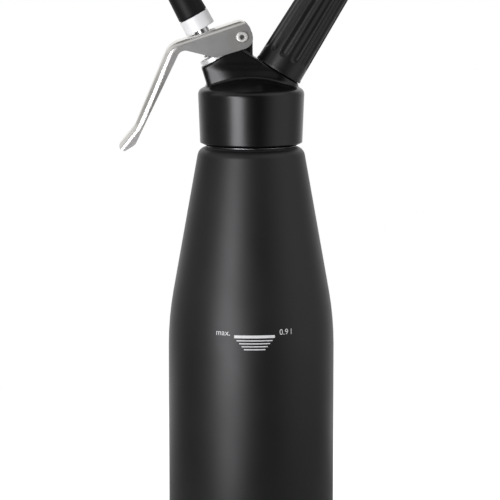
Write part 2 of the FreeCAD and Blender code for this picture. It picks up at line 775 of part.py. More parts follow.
def make_nozzle():
    """A tapered plastic nozzle whose mouth is cut into the teeth of a star tip."""
    body = new_body("nozzle", STEM_AXIS)
    foot = f"({ADAPTER_TOP} + nozzle_gap)"
    seat = f"({ADAPTER_TOP} + nozzle_seal_thickness)"
    socket = f"({foot} + nozzle_socket_depth)"
    crown = f"({foot} + nozzle_length - crown_length)"
    crown_radius = "(nozzle_radius - (nozzle_length - crown_length) * tan(nozzle_taper))"
    tip = f"({foot} + nozzle_length)"
    shell = spin(body, "shell", [
        ("nozzle_seal_radius", foot),
        ("nozzle_radius", foot, "nozzle_edge_radius"),
        (crown_radius, crown, "crown_blend_radius"),
        ("crown_mouth_radius + nozzle_wall", tip, "tooth_edge_radius"),
        ("crown_mouth_radius", tip, "tooth_edge_radius"),
        (f"{crown_radius} - nozzle_wall", crown, "crown_blend_radius"),
        ("stub_radius + thread_clearance", f"{socket} + stub_radius / 2"),
        ("stub_radius + thread_clearance", seat),
        ("nozzle_seal_radius", seat),
    ])
    gap = new_sketch(body, "gap_profile", "YZ_Plane")
    draw_outline(gap, [
        ("-tooth_gap / 2", f"{tip} - tooth_depth", "tooth_gap / 2"),
        ("tooth_gap / 2", f"{tip} - tooth_depth", "tooth_gap / 2"),
        ("tooth_gap / 2", f"{tip} + tooth_gap"),
        ("-tooth_gap / 2", f"{tip} + tooth_gap"),
    ])
    first_gap = extrude(body, "gap", gap, "nozzle_radius", cut=True, reverse=True)
    repeat(body, "gaps", first_gap, shell.Profile[0], "tooth_count")
    return body


# ---------------------------------------------------------------- lever


def along(corner, drop, run, depth="0"):
    """The point that lies the run further along a line of that drop below the plate's direction,
    and the depth inwards from it."""
    u = f"{corner[0]} - {run} * cos({drop}) + {depth} * sin({drop})"
    v = f"{corner[1]} - {run} * sin({drop}) - {depth} * cos({drop})"
    return u, v


def inset_corner(corner, before, after, depth):
    """The corner of two outer lines, of those drops, once both have moved inwards by the depth."""
    share = f"{depth} / (1 + cos({after} - {before}))"
    u = f"{corner[0]} + {share} * (sin({before}) + sin({after}))"
    v = f"{corner[1]} - {share} * (cos({before}) + cos({after}))"
    return u, v


BEND = ("-plate_reach", "plate_offset")
ARM_END = along(BEND, "arm_drop", "arm_run")
TIP = along(ARM_END, "tongue_drop", "tongue_run")
INNER_TIP = along(TIP, "tongue_drop", "0", "tongue_depth")
THROAT = ("-plate_reach + throat_set", "plate_offset - throat_depth")
INNER_END = along(THROAT, "arm_inner_drop", "arm_inner_run")


def make_lever_form(label, inset, axis=None):
    """The lever's outside, or the space inside it: the bent profile across its width, narrower
    towards the tongue, with the outer bends rounded. The inside is open towards the bottle."""
    body = new_body(label, axis)
    profile = new_sketch(body, "side_profile")
    if inset == "0":
        draw_outline(profile, [
            ("nose_reach", "plate_offset"),
            (*BEND, "arm_bend_radius"),
            (*ARM_END, "tongue_bend_radius"),
            TIP,
            INNER_TIP,
            (*INNER_END, "arm_inner_radius"),
            (*THROAT, "throat_radius"),
            ("-cheek_reach", "-cheek_drop", "cheek_radius"),
            ("nose_reach", "-nose_drop", "nose_radius"),
        ])
    else:
        inner_bend = inset_corner(BEND, "0", "arm_drop", inset)
        inner_arm_end = inset_corner(ARM_END, "arm_drop", "tongue_drop", inset)
        trough_end = along(inner_arm_end, "tongue_drop", f"(tongue_run - 2 * {inset})")
        draw_outline(profile, [
            ("nose_reach + nose_radius", f"plate_offset - {inset}"),
            (*inner_bend, f"arm_bend_radius - {inset}"),
            (*inner_arm_end, f"tongue_bend_radius + {inset}"),
            trough_end,
            along(trough_end, "tongue_drop", "0", "arm_run / 2"),
            ("nose_reach + nose_radius", "-arm_run"),
        ])
    extrude(body, "bent_profile", profile, f"lever_width - 2 * {inset}", both_ways=True)

    taper = new_sketch(body, "taper_profile", "YZ_Plane")
    taper_foot = "plate_offset - arm_run * sin(arm_drop)"
    for side in ("1", "-1"):
        wide = f"{side} * (lever_width / 2 - {inset})"
        narrow = f"{side} * (lever_tongue_width / 2 - {inset})"
        corners = [
            (wide, "0"),
            (wide, "-cheek_drop", "taper_blend_radius"),
            (narrow, taper_foot, "taper_blend_radius"),
            (narrow, "-2 * arm_run"),
            (f"{side} * lever_width", "-2 * arm_run"),
            (f"{side} * lever_width", "0"),
        ]
        draw_outline(taper, corners if side == "1" else corners[::-1])
    extrude(body, "taper", taper, "4 * arm_run", cut=True, both_ways=True)

    outward = FreeCAD.Vector(-math.sin(math.radians(value("tongue_drop"))), 0, 1)
    half_tongue = value(f"lever_tongue_width / 2 - {inset}") - 0.01
    shape = body.Tip.Shape

    def on_outer_bend(edge):
        middle = edge.valueAt((edge.FirstParameter + edge.LastParameter) / 2)
        along = edge.tangentAt((edge.FirstParameter + edge.LastParameter) / 2)
        if abs(middle.y) < half_tongue or abs(along.y) > 0.5:
            return False
        for face in shape.ancestorsOfType(edge, Part.Face):
            u, v = face.Surface.parameter(middle)
            normal = face.normalAt(u, v)
            if abs(normal.y) < 0.3 and normal.dot(outward) > 0.6:
                return True
        return False

    round_edges(body, "outer_bends", f"lever_bend_radius - {inset}", on_outer_bend)
    return body


def make_lever():
    """Pressed sheet: a channel over the boss, bent down into the arm, with a turned-out tongue."""
    body = make_lever_form("lever", "0", LEVER_AXIS)
    tongue_end = new_sketch(body, "tongue_end_profile")
    draw_outline(tongue_end, [
        along(TIP, "tongue_drop", "-tongue_depth"),
        (*TIP, "tongue_edge_radius"),
        (*INNER_TIP, "tongue_edge_radius"),
        INNER_END,
        along(INNER_END, "tongue_drop", "0", "tongue_depth"),
        along(INNER_TIP, "tongue_drop", "tongue_depth", "tongue_run"),
        along(TIP, "tongue_drop", "tongue_depth", "-tongue_depth"),
        along(TIP, "tongue_drop", "-tongue_depth", "-tongue_depth"),
    ])
    extrude(body, "tongue_end", tongue_end, "2 * lever_width", cut=True, both_ways=True)
    trough = make_lever_form("lever_trough", "lever_sheet")
    before = volume(body)
    hollow = body.newObject("PartDesign::Boolean", "hollow")
    hollow.Type = "Cut"
    hollow.setObjects([trough])
    check_change(body, hollow, before, cut=True)

    nose = new_sketch(body, "nose_profile")
    draw_outline(nose, [
        ("nose_reach - nose_radius", "plate_offset"),
        ("nose_reach", "plate_offset", "nose_radius"),
        ("nose_reach", "plate_offset - nose_radius"),
        ("nose_reach + nose_radius", "plate_offset - nose_radius"),
        ("nose_reach + nose_radius", "plate_offset + nose_radius"),
        ("nose_reach - nose_radius", "plate_offset + nose_radius"),
    ])
    extrude(body, "nose", nose, "2 * lever_width", cut=True, both_ways=True)

    slot = new_sketch(body, "slot_profile", "XY_Plane", lift="plate_offset + lever_sheet")
    rim = "((boss_x - pivot_x) * cos(plate_slope) + (boss_rise - pivot_rise) * sin(plate_slope))"
    middle = f"({rim} - {PLATE_TOP} * sin({PLATE_LEAN}))"
    draw_outline(slot, [
        (f"{middle} - slot_length / 2", "-slot_width / 2", "slot_width / 2"),
        (f"{middle} + slot_length / 2", "-slot_width / 2", "slot_width / 2"),
        (f"{middle} + slot_length / 2", "slot_width / 2", "slot_width / 2"),
        (f"{middle} - slot_length / 2", "slot_width / 2", "slot_width / 2"),
    ])
    extrude(body, "stem_slot", slot, "3 * lever_sheet", cut=True)

    pivot = new_sketch(body, "pivot_hole_profile")
    draw_circle(pivot, "0", "0", "pivot_radius + running_clearance")
    extrude(body, "pivot_holes", pivot, "2 * lever_width", cut=True, both_ways=True)
    return body


# ---------------------------------------------------------------- lever pivot

# The pivot's pieces are modelled upright and laid along the pivot, with their top to the front.


def new_pivot_body(label):
    body = new_body(label)
    bind(body, "Placement", f"placement(vector(pivot_x; 0; {PIVOT_HEIGHT}); rotation(0; 0; 90))")
    return body


def make_lever_pivot_screw():
    body = new_pivot_body("lever_pivot_screw")
    side = "lever_width / 2"
    spin(body, "screw", [
        ("0", f"-{side} - screw_thread_length"),
        ("pivot_radius", f"-{side} - screw_thread_length"),
        ("pivot_radius", side),
        ("screw_head_radius", side),
        ("screw_head_radius", f"{side} + screw_head_height", "screw_edge_radius"),
        ("0", f"{side} + screw_head_height"),
    ])
    socket = new_sketch(body, "socket_profile", "XY_Plane", lift=f"{side} + screw_head_height")
    draw_outline(socket, hexagon("screw_socket_across"))
    extrude(body, "socket", socket, "screw_socket_depth", cut=True)
    return body


def make_lever_pivot_nut():
    body = new_pivot_body("lever_pivot_nut")
    side = "lever_width / 2"
    outline = new_sketch(body, "nut_outline", "XY_Plane", lift=f"-{side} - cap_nut_height")
    draw_outline(outline, hexagon("cap_nut_across"))
    extrude(body, "nut", outline, "cap_nut_height")
    dome_foot = f"-{side} - cap_nut_height + screw_edge_radius"
    dome_end = f"-{side} - cap_nut_height - cap_nut_dome"
    dome_side = "cap_nut_across / 2 - screw_edge_radius"
    spin(body, "dome", [
        ("0", dome_foot),
        ("0", dome_end),
        (dome_side, dome_end, "cap_nut_dome"),
        (dome_side, dome_foot),
    ])
    bore = f"-{side} - screw_thread_length"
    spin(body, "thread_bore", ring("0", "pivot_radius", bore, "0"), cut=True)
    return body


def make_lever_washers():
    """Two plain washers that fill the gaps between the lug and the lever's cheeks."""
    body = new_pivot_body("lever_washers")
    inner = "pivot_radius + running_clearance"
    start = "lug_width / 2"
    end = "lever_width / 2 - lever_sheet - washer_clearance"
    spin(body, "front_washer", ring(inner, "washer_radius", start, end))
    spin(body, "rear_washer", ring(inner, "washer_radius", f"-({start})", f"-({end})"))
    return body


# ---------------------------------------------------------------- piercing pin and charger


def make_piercing_pin():
    body = new_body("piercing_pin", HOLDER_AXIS)
    needle_end = "(pin_flange_thickness + needle_length)"
    spin(body, "pin", [
        ("0", f"-{SLEEVE_END}"),
        ("pin_tail_radius", f"-{SLEEVE_END}"),
        ("pin_tail_radius", "-pin_shank_length"),
        ("pin_shank_radius", "-pin_shank_length"),
        ("pin_shank_radius", "0"),
        ("pin_flange_radius", "0"),
        ("pin_flange_radius", "pin_flange_thickness"),
        ("needle_radius", "pin_flange_thickness"),
        ("needle_radius", needle_end),
        ("0", f"{needle_end} + needle_point_length"),
    ])
    return body


def make_pin_seal():
    body = new_body("pin_seal", HOLDER_AXIS)
    inner = "needle_radius + needle_clearance"
    spin(body, "seal", ring(inner, "pin_flange_radius", "pin_flange_thickness", CHARGER_FOOT))
    return body


def make_non_return_sleeve():
    body = new_body("non_return_sleeve", HOLDER_AXIS)
    outer = "pin_tail_radius + sleeve_thickness"
    foot = f"-{SLEEVE_END} + needle_point_length"
    spin(body, "sleeve", ring("pin_tail_radius", outer, foot, "-pin_shank_length"))
    return body


def make_gas_charger():
    """A steel capsule, shown pierced, because the needle stands in its mouth."""
    body = new_body("gas_charger", HOLDER_AXIS)
    hole = "needle_radius + needle_clearance"
    shoulder = f"({CHARGER_FOOT} + charger_neck_length)"
    body_foot = f"({shoulder} + charger_shoulder_length)"
    spin(body, "capsule", [
        (hole, CHARGER_FOOT),
        ("charger_neck_radius", CHARGER_FOOT, "stud_edge_radius"),
        ("charger_neck_radius", shoulder, "charger_waist_radius"),
        ("charger_radius", body_foot, "charger_waist_radius"),
        ("charger_radius", CHARGER_TOP, "charger_end_radius"),
        ("0", CHARGER_TOP),
        ("0", f"{CHARGER_TOP} - charger_wall"),
        (
            "charger_radius - charger_wall",
            f"{CHARGER_TOP} - charger_wall",
            "charger_end_radius - charger_wall",
        ),
        ("charger_radius - charger_wall", f"{body_foot} + charger_wall / 2", "charger_waist_radius"),
        ("charger_neck_radius - charger_wall", f"{shoulder} + charger_wall / 2", "charger_waist_radius"),
        ("charger_neck_radius - charger_wall", f"{CHARGER_FOOT} + charger_cap"),
        (hole, f"{CHARGER_FOOT} + charger_cap"),
    ])
    return body


# ---------------------------------------------------------------- charger holder


def make_charger_holder():
    """A moulded grip with long round-ended flutes over a plain foot."""
    body = new_body("charger_holder", HOLDER_AXIS, "flute_phase")
    top_radius = f"(holder_radius - {HOLDER_LENGTH} * tan(holder_taper))"
    shell = spin(body, "shell", [
        (INSERT_OUTSIDE, "0"),
        ("holder_radius", "0", "holder_step"),
        ("holder_radius", "holder_step_height"),
        ("holder_radius - holder_step", "holder_step_height"),
        (top_radius, HOLDER_LENGTH, "holder_top_edge_radius"),
        ("0", HOLDER_LENGTH),
        ("0", HOLDER_CEILING),
        (HOLDER_BORE, HOLDER_CEILING),
        (HOLDER_BORE, "insert_length"),
        (INSERT_OUTSIDE, "insert_length"),
    ])
    tool_axis = ("holder_radius - flute_depth + flute_tool_radius", "0", "-holder_taper")
    flute = spin(body, "flute", [
        ("0", "flute_start"),
        ("flute_tool_radius", "flute_start", "flute_tool_radius"),
        ("flute_tool_radius", f"{HOLDER_LENGTH} - flute_end_margin", "flute_tool_radius"),
        ("0", f"{HOLDER_LENGTH} - flute_end_margin"),
    ], tool_axis, cut=True)
    repeat(body, "flutes", flute, shell.Profile[0], "flute_count")
    return body


def make_holder_insert():
    body = new_body("holder_insert", HOLDER_AXIS)
    spin(body, "sleeve", ring(INSERT_BORE, INSERT_OUTSIDE, "0", "insert_length"))
    return body


def make_holder_cushion():
    body = new_body("holder_cushion", HOLDER_AXIS)
    spin(body, "disc", ring("0", HOLDER_BORE, CHARGER_TOP, HOLDER_CEILING))
    return body


PIECES = [
    make_bottle(),
    make_head_gasket(),
    make_head(),
    make_stem_guide_nut(),
    make_stem_o_ring(),
    make_valve_spring(),
    make_valve_stem(),
    make_tail_ring("valve_seal", "seal_radius", "seat_depth", TAIL_SEAL),
    make_tail_ring("seal_washer", "backing_radius", TAIL_SEAL, TAIL_BACKING),
    make_seal_nut(),
    make_nozzle_adapter(),
    make_nozzle_seal(),
    make_nozzle(),
    make_lever(),
    make_lever_pivot_screw(),
    make_lever_pivot_nut(),
    make_lever_washers(),
    make_piercing_pin(),
    make_pin_seal(),
    make_non_return_sleeve(),
    make_gas_charger(),
    make_charger_holder(),
    make_holder_insert(),
    make_holder_cushion(),
]

# ---------------------------------------------------------------- checks and export

doc.recompute()
for thing in doc.Objects:
    if {"Invalid", "Error"} & set(thing.State):
        raise RuntimeError(f"{thing.Name} failed: {thing.State}")
for piece in PIECES:
    if piece.Shape.isNull() or not piece.Shape.isValid():
        raise RuntimeError(f"{piece.Label} has no valid shape")
os.makedirs("parts", exist_ok=True)
for piece in PIECES:
    piece.Shape.exportStep(f"parts/{piece.Label}.step")
    print(piece.Label, len(piece.Shape.Solids), "solid", round(piece.Shape.Volume), "mm3")
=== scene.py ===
import math

import bpy
import numpy as np
import openvdb
from mathutils import Matrix, Quaternion, Vector


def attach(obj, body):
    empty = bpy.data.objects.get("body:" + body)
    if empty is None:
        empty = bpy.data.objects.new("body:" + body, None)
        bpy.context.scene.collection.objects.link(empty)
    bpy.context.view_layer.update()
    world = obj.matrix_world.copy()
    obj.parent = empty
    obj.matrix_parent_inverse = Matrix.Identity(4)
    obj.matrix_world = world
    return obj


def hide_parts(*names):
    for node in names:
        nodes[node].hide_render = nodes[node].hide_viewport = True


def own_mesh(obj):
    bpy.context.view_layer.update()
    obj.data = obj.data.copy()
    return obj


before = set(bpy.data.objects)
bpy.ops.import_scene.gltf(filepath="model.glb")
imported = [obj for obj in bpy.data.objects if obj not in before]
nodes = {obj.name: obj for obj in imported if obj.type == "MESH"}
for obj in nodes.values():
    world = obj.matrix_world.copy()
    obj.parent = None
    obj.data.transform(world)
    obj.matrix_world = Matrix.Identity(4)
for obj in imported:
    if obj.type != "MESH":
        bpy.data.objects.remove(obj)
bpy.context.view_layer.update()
scene = bpy.context.scene

# ---------------------------------------------------------------- bottle
# Aluminium bottle, drawn from a disc and necked in, with a satin black stoved coat outside. The
# neck with its rolled thread and the inside are bare. Pieces are drawn in millimetres.

MM = 0.001
BODY_RADIUS, BODY_WALL, FOOT_CORNER = 50.0, 2.0, 6.0
FOOT_RING, FOOT_EDGE = (37.0, 44.0), 1.0
PUNT_DEPTH, PUNT_RUN, PUNT_CORNER, PUNT_INSET = 8.0, 4.0, 5.0, 1.2
CONE_START, CONE_TOP_RADIUS, CONE_BLEND = 140.6, 31.38, 187.0
SHOULDER, SHOULDER_WALL, SHOULDER_CORNER, SHOULDER_HOLLOW = 244.4, 3.0, 6.0, 4.0
NECK_RADIUS, NECK_BORE, NECK_HOLLOW, RIM, RIM_EDGE = 26.0, 22.5, 0.6, 264.0, 0.8
THREAD_PITCH, THREAD_DEPTH, THREAD_START, THREAD_END = 3.0, 0.8, 247.5, 261.5
THREAD_FADE, THREAD_FULLNESS, THREAD_STEP = 1.5, 0.7, 0.3
PAINT_EDGE, BARE_INSIDE = 245.3, 9.5


def rounded(corners, step=5.0):
    """The points of a line through the corners, with an arc at each corner that has a radius."""
    points = []
    for i, (across, height, *radius) in enumerate(corners):
        corner = Vector((across, height))
        if not radius or i in (0, len(corners) - 1):
            points.append(corner)
            continue
        back = (Vector(corners[i - 1][:2]) - corner).normalized()
        ahead = (Vector(corners[i + 1][:2]) - corner).normalized()
        half = back.angle(ahead) / 2
        middle = corner + (back + ahead).normalized() * (radius[0] / math.sin(half))
        start = corner + back * (radius[0] / math.tan(half)) - middle
        end = corner + ahead * (radius[0] / math.tan(half)) - middle
        sweep = math.pi - 2 * half
        steps = max(2, round(math.degrees(sweep) / step))
        for k in range(steps + 1):
            share = k / steps
            arm = start * math.sin((1 - share) * sweep) + end * math.sin(share * sweep)
            points.append(middle + arm / math.sin(sweep))
    return points


def divided(points, low, high, pitch):
    """The same line with extra points, no further apart than the pitch, between two heights."""
    line = [points[0]]
    for point in points[1:]:
        last = line[-1]
        middle = (last.y + point.y) / 2
        pieces = math.ceil((point - last).length / pitch) if low < middle < high else 1
        line += [last.lerp(point, k / pieces) for k in range(1, pieces + 1)]
    return line


def standing(x=0.0, height=0.0, lean=0.0, turn=0.0):
    """A place in the plane of symmetry for a piece made upright, leaning towards +X."""
    place = Matrix.Translation((x * MM, 0, height * MM)) @ Matrix.Rotation(math.radians(lean), 4, "Y")
    return place @ Matrix.Rotation(math.radians(turn), 4, "Z")


def new_piece(name, points, faces, place, material, crease=32.0):
    """A mesh piece from points in millimetres, shaded smooth up to the crease angle."""
    mesh = bpy.data.meshes.new(name)
    mesh.from_pydata((np.asarray(points, float) * MM).tolist(), [], faces)
    mesh.validate()
    mesh.transform(place)
    mesh.shade_smooth()
    mesh.set_sharp_from_angle(angle=math.radians(crease))
    mesh.materials.append(material)
    piece = bpy.data.objects.new(name, mesh)
    scene.collection.objects.link(piece)
    weigh = piece.modifiers.new("even_shading", "WEIGHTED_NORMAL")
    weigh.keep_sharp = True
    return piece


def turned(name, line, material, place, around, shape):
    """A turned piece from its line of (radius, height), in as many columns as around says. The
    shape, a function of the angle, the radius and the height, changes the radius for threads and
    flutes."""
    line = np.array([tuple(p) for p in line])
    angles = np.linspace(0, 2 * math.pi, around, endpoint=False)
    radius, angle = np.meshgrid(line[:, 0], angles, indexing="ij")
    height = np.repeat(line[:, 1:], around, axis=1)
    radius = shape(angle, radius, height)
    points = np.stack([radius * np.cos(angle), radius * np.sin(angle), height], axis=-1)
    rows = len(line)
    pole = line[:, 0] < 1e-6
    number = np.arange(rows * around).reshape(rows, around)
    number[pole] = number[pole][:, :1]
    faces = []
    for low, high in zip(number[:-1], number[1:]):
        for k in range(around):
            after = (k + 1) % around
            corners = [low[k], low[after], high[after], high[k]]
            faces.append([int(c) for i, c in enumerate(corners) if c not in corners[:i]])
    used = np.unique(number)
    renumber = np.zeros(rows * around, int)
    renumber[used] = np.arange(len(used))
    faces = [[int(renumber[c]) for c in face] for face in faces]
    return new_piece(name, points.reshape(-1, 3)[used], faces, place, material)


def add(tree, kind, values=(), **settings):
    """A node in the tree, with its settings and the values of its unlinked inputs."""
    made = tree.nodes.new(kind)
    for name, setting in settings.items():
        setattr(made, name, setting)
    for socket, value in dict(values).items():
        made.inputs[socket].default_value = value
    return made


def new_group(name, inputs, outputs):
    """An empty shader group with its inputs, as name and default, and its outputs, as names."""
    group = bpy.data.node_groups.new(name, "ShaderNodeTree")
    for label, default in inputs.items():
        socket = group.interface.new_socket(label, in_out="INPUT", socket_type="NodeSocketFloat")
        socket.default_value = default
    for label in outputs:
        group.interface.new_socket(label, in_out="OUTPUT", socket_type="NodeSocketFloat")
    return group, group.nodes.new("NodeGroupInput"), group.nodes.new("NodeGroupOutput")


def make_grain():
    """A fine even relief for a bump, and broad soft patches for the roughness and the colour."""
    group, given, result = new_group(
        "grain", {"Fine scale": 900.0, "Patch scale": 22.0}, ("Fine", "Patches"))
    link = group.links.new
    place = add(group, "ShaderNodeTexCoord")
    fine = add(group, "ShaderNodeTexNoise", {"Detail": 3.0, "Roughness": 0.6})
    patches = add(group, "ShaderNodeTexNoise", {"Detail": 4.0, "Roughness": 0.55})
    for noise, scale in ((fine, "Fine scale"), (patches, "Patch scale")):
        link(place.outputs["Object"], noise.inputs["Vector"])
        link(given.outputs[scale], noise.inputs["Scale"])
    link(fine.outputs["Fac"], result.inputs["Fine"])
    link(patches.outputs["Fac"], result.inputs["Patches"])
    return group


def make_edge_wear_and_highlight():
    """A mask for outer edges, broken up by a noise: real wear where hands and the rack rub the coated parts,
    and a painted highlight on the lever's bends and cut edges.
    """
    group, given, result = new_group(
        "edge_wear_and_highlight", {"Start": 0.54, "Full": 0.66, "Breaks": 260.0}, ("Edge mask",))
    link = group.links.new
    shape = add(group, "ShaderNodeNewGeometry")
    edge = add(group, "ShaderNodeMapRange", interpolation_type="SMOOTHSTEP")
    place = add(group, "ShaderNodeTexCoord")
    breaks = add(group, "ShaderNodeTexNoise", {"Detail": 5.0, "Roughness": 0.7})
    broken = add(group, "ShaderNodeMapRange", {"From Min": 0.4, "From Max": 0.62})
    both = add(group, "ShaderNodeMath", operation="MULTIPLY")
    link(shape.outputs["Pointiness"], edge.inputs["Value"])
    link(given.outputs["Start"], edge.inputs["From Min"])
    link(given.outputs["Full"], edge.inputs["From Max"])
    link(place.outputs["Object"], breaks.inputs["Vector"])
    link(given.outputs["Breaks"], breaks.inputs["Scale"])
    link(breaks.outputs["Fac"], broken.inputs["Value"])
    link(edge.outputs["Result"], both.inputs[0])
    link(broken.outputs["Result"], both.inputs[1])
    link(both.outputs["Value"], result.inputs["Edge mask"])
    return group


def make_tool_marks():
    """Fine parallel marks round an axis that leans in the plane of symmetry, as a lathe leaves
    them, or along it, as a belt leaves them. Across and Along are how many there are to a metre,
    square to the axis and along it."""
    group, given, result = new_group(
        "tool_marks", {"Lean": 0.0, "Across": 1500.0, "Along": 1500.0, "Scratch": 500.0},
        ("Marks", "Scratches"))
    link = group.links.new
    place = add(group, "ShaderNodeTexCoord")
    upright = add(group, "ShaderNodeVectorRotate", rotation_type="Y_AXIS")
    stretch = add(group, "ShaderNodeCombineXYZ")
    scaled = add(group, "ShaderNodeVectorMath", operation="MULTIPLY")
    marks = add(group, "ShaderNodeTexNoise", {"Scale": 1.0, "Detail": 2.0, "Roughness": 0.6})
    fibres = add(group, "ShaderNodeTexNoise", {"Detail": 6.0, "Roughness": 0.7, "Distortion": 0.6})
    link(place.outputs["Object"], upright.inputs["Vector"])
    link(given.outputs["Lean"], upright.inputs["Angle"])
    link(given.outputs["Across"], stretch.inputs["X"])
    link(given.outputs["Across"], stretch.inputs["Y"])
    link(given.outputs["Along"], stretch.inputs["Z"])
    link(upright.outputs["Vector"], scaled.inputs[0])
    link(stretch.outputs["Vector"], scaled.inputs[1])
    link(scaled.outputs["Vector"], marks.inputs["Vector"])
    link(place.outputs["Object"], fibres.inputs["Vector"])
    link(given.outputs["Scratch"], fibres.inputs["Scale"])
    link(marks.outputs["Fac"], result.inputs["Marks"])
    link(fibres.outputs["Fac"], result.inputs["Scratches"])
    return group


grain = make_grain()
edge_wear_and_highlight = make_edge_wear_and_highlight()
tool_marks = make_tool_marks()


def new_material(name, **constants):
    """A material with its Principled shader's plain values set on the shader's own sockets."""
    material = bpy.data.materials.new(name)
    material.use_nodes = True
    shader = material.node_tree.nodes["Principled BSDF"]
    for socket, value in constants.items():
        shader.inputs[socket.replace("_", " ")].default_value = value
    return material, material.node_tree, shader


def use_group(tree, group, **values):
    """The group placed in the tree with its own values."""
    made = tree.nodes.new("ShaderNodeGroup")
    made.node_tree = group
    for socket, value in values.items():
        made.inputs[socket.replace("_", " ")].default_value = value
    return made


NOISE_LOW, NOISE_HIGH = 0.3, 0.7


def spread(tree, noise, low, high):
    """A noise, which lies mostly in its own narrow range, spread over a range of values."""
    made = add(tree, "ShaderNodeMapRange",
               {"From Min": NOISE_LOW, "From Max": NOISE_HIGH, "To Min": low, "To Max": high})
    tree.links.new(noise, made.inputs["Value"])
    return made.outputs["Result"]


def tinted(tree, mask, plain, other):
    """Two colours mixed by a mask. Each is three numbers, or an output of the tree."""
    mix = add(tree, "ShaderNodeMix", data_type="RGBA")
    for socket, colour in (("A", plain), ("B", other)):
        if isinstance(colour, tuple):
            mix.inputs[socket].default_value = (*colour, 1)
        else:
            tree.links.new(colour, mix.inputs[socket])
    tree.links.new(mask, mix.inputs["Factor"])
    return mix.outputs["Result"]


def raise_bumps(tree, shader, height, depth):
    """A bump of that depth in millimetres."""
    bump = add(tree, "ShaderNodeBump", {"Strength": 1.0, "Distance": depth * MM})
    tree.links.new(height, bump.inputs["Height"])
    tree.links.new(bump.outputs["Normal"], shader.inputs["Normal"])


def make_coated(name, colour, patch, worn, roughness, depth, fine, patch_scale=22.0, **constants):
    """A painted, moulded or rubber surface: a fine relief, patches of gloss and worn edges. The
    depth is in millimetres. Fine and patch_scale are how many grains and patches there are to a
    metre, and roughness is its lowest and highest value."""
    material, tree, shader = new_material(name, **constants)
    relief = use_group(tree, grain, Fine_scale=fine, Patch_scale=patch_scale)
    wear = use_group(tree, edge_wear_and_highlight)
    body = tinted(tree, spread(tree, relief.outputs["Patches"], 0, 1), colour, patch)
    tree.links.new(tinted(tree, wear.outputs["Edge mask"], body, worn), shader.inputs["Base Color"])
    tree.links.new(spread(tree, relief.outputs["Patches"], *roughness), shader.inputs["Roughness"])
    raise_bumps(tree, shader, relief.outputs["Fine"], depth)
    return material


def make_metal(name, colour, patch, roughness, lean=0.0, across=1500.0, along=1500.0, depth=0.004,
               metallic=1.0):
    """A bare metal: patches of tint, marks of the tool and fine scratches."""
    material, tree, shader = new_material(name, Metallic=metallic)
    relief = use_group(tree, grain, Fine_scale=700.0, Patch_scale=35.0)
    marks = use_group(tree, tool_marks, Lean=math.radians(lean), Across=across, Along=along)
    tint = spread(tree, relief.outputs["Patches"], 0, 1)
    tree.links.new(tinted(tree, tint, colour, patch), shader.inputs["Base Color"])
    tree.links.new(spread(tree, marks.outputs["Scratches"], *roughness), shader.inputs["Roughness"])
    raise_bumps(tree, shader, marks.outputs["Marks"], depth)
    return material


def dress(material, *names):
    """The material on CAD nodes that show their own shape."""
    for name in names:
        for slot in nodes[name].material_slots:
            slot.material = material


bottle_paint = make_coated("bottle_paint", colour=(0.0022, 0.0022, 0.0024),
                           patch=(0.0034, 0.0034, 0.0036), worn=(0.03, 0.03, 0.031),
                           roughness=(0.43, 0.49), depth=0.008, fine=1500.0,
                           Specular_IOR_Level=0.55, Sheen_Weight=0.15, Sheen_Roughness=0.35)
bare_aluminium = make_metal("bare_aluminium", colour=(0.78, 0.78, 0.79), patch=(0.70, 0.70, 0.71),
                            roughness=(0.28, 0.42), across=60.0, along=2500.0)
cone_slope = (BODY_RADIUS - CONE_TOP_RADIUS) / (SHOULDER - CONE_START)
inner_top = SHOULDER - SHOULDER_WALL
inner_top_radius = CONE_TOP_RADIUS + SHOULDER_WALL * cone_slope - BODY_WALL * math.hypot(1, cone_slope)
inner_radius = BODY_RADIUS - BODY_WALL
punt_top = PUNT_DEPTH + BODY_WALL
punt_inside = FOOT_RING[0] + PUNT_INSET
bottle_line = rounded([
    (0.0, PUNT_DEPTH), (FOOT_RING[0] - PUNT_RUN, PUNT_DEPTH, PUNT_CORNER),
    (FOOT_RING[0], 0.0, FOOT_EDGE), (FOOT_RING[1], 0.0), (BODY_RADIUS, 0.0, FOOT_CORNER),
    (BODY_RADIUS, CONE_START, CONE_BLEND), (CONE_TOP_RADIUS, SHOULDER, SHOULDER_CORNER),
    (NECK_RADIUS, SHOULDER, NECK_HOLLOW), (NECK_RADIUS, RIM, RIM_EDGE), (NECK_BORE, RIM, RIM_EDGE),
    (NECK_BORE, inner_top, RIM_EDGE), (inner_top_radius, inner_top, SHOULDER_HOLLOW),
    (inner_radius, CONE_START, CONE_BLEND - BODY_WALL), (inner_radius, BODY_WALL, FOOT_CORNER - BODY_WALL),
    (punt_inside, BODY_WALL), (punt_inside - PUNT_RUN, punt_top, PUNT_CORNER + BODY_WALL),
    (0.0, punt_top),
], step=2.5)


def neck_thread(angle, radius, height):
    """The rolled thread: rounded grooves that fade out at both ends."""
    turn = height / THREAD_PITCH - angle / (2 * math.pi)
    groove = 0.5 - 0.5 * np.cos(2 * math.pi * turn)
    from_start = np.clip((height - THREAD_START) / THREAD_FADE, 0, 1)
    to_end = np.clip((THREAD_END - height) / THREAD_FADE, 0, 1)
    outside = radius > (NECK_RADIUS + NECK_BORE) / 2
    return radius - np.where(outside, THREAD_DEPTH * groove ** THREAD_FULLNESS * from_start * to_end, 0)


bottle_line = divided(bottle_line, SHOULDER, RIM, THREAD_STEP)
bottle = turned("bottle_shell", bottle_line, bottle_paint, standing(), around=160, shape=neck_thread)
bottle.data.materials.append(bare_aluminium)
for face in bottle.data.polygons:
    faces_axis = face.normal.dot(Vector((face.center.x, face.center.y, 0))) < 0
    inside = faces_axis or face.center.to_2d().length < (NECK_BORE + 1) * MM
    if face.center.z > PAINT_EDGE * MM or (inside and face.center.z > BARE_INSIDE * MM):
        face.material_index = 1
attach(bottle, "bottle")
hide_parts("bottle")

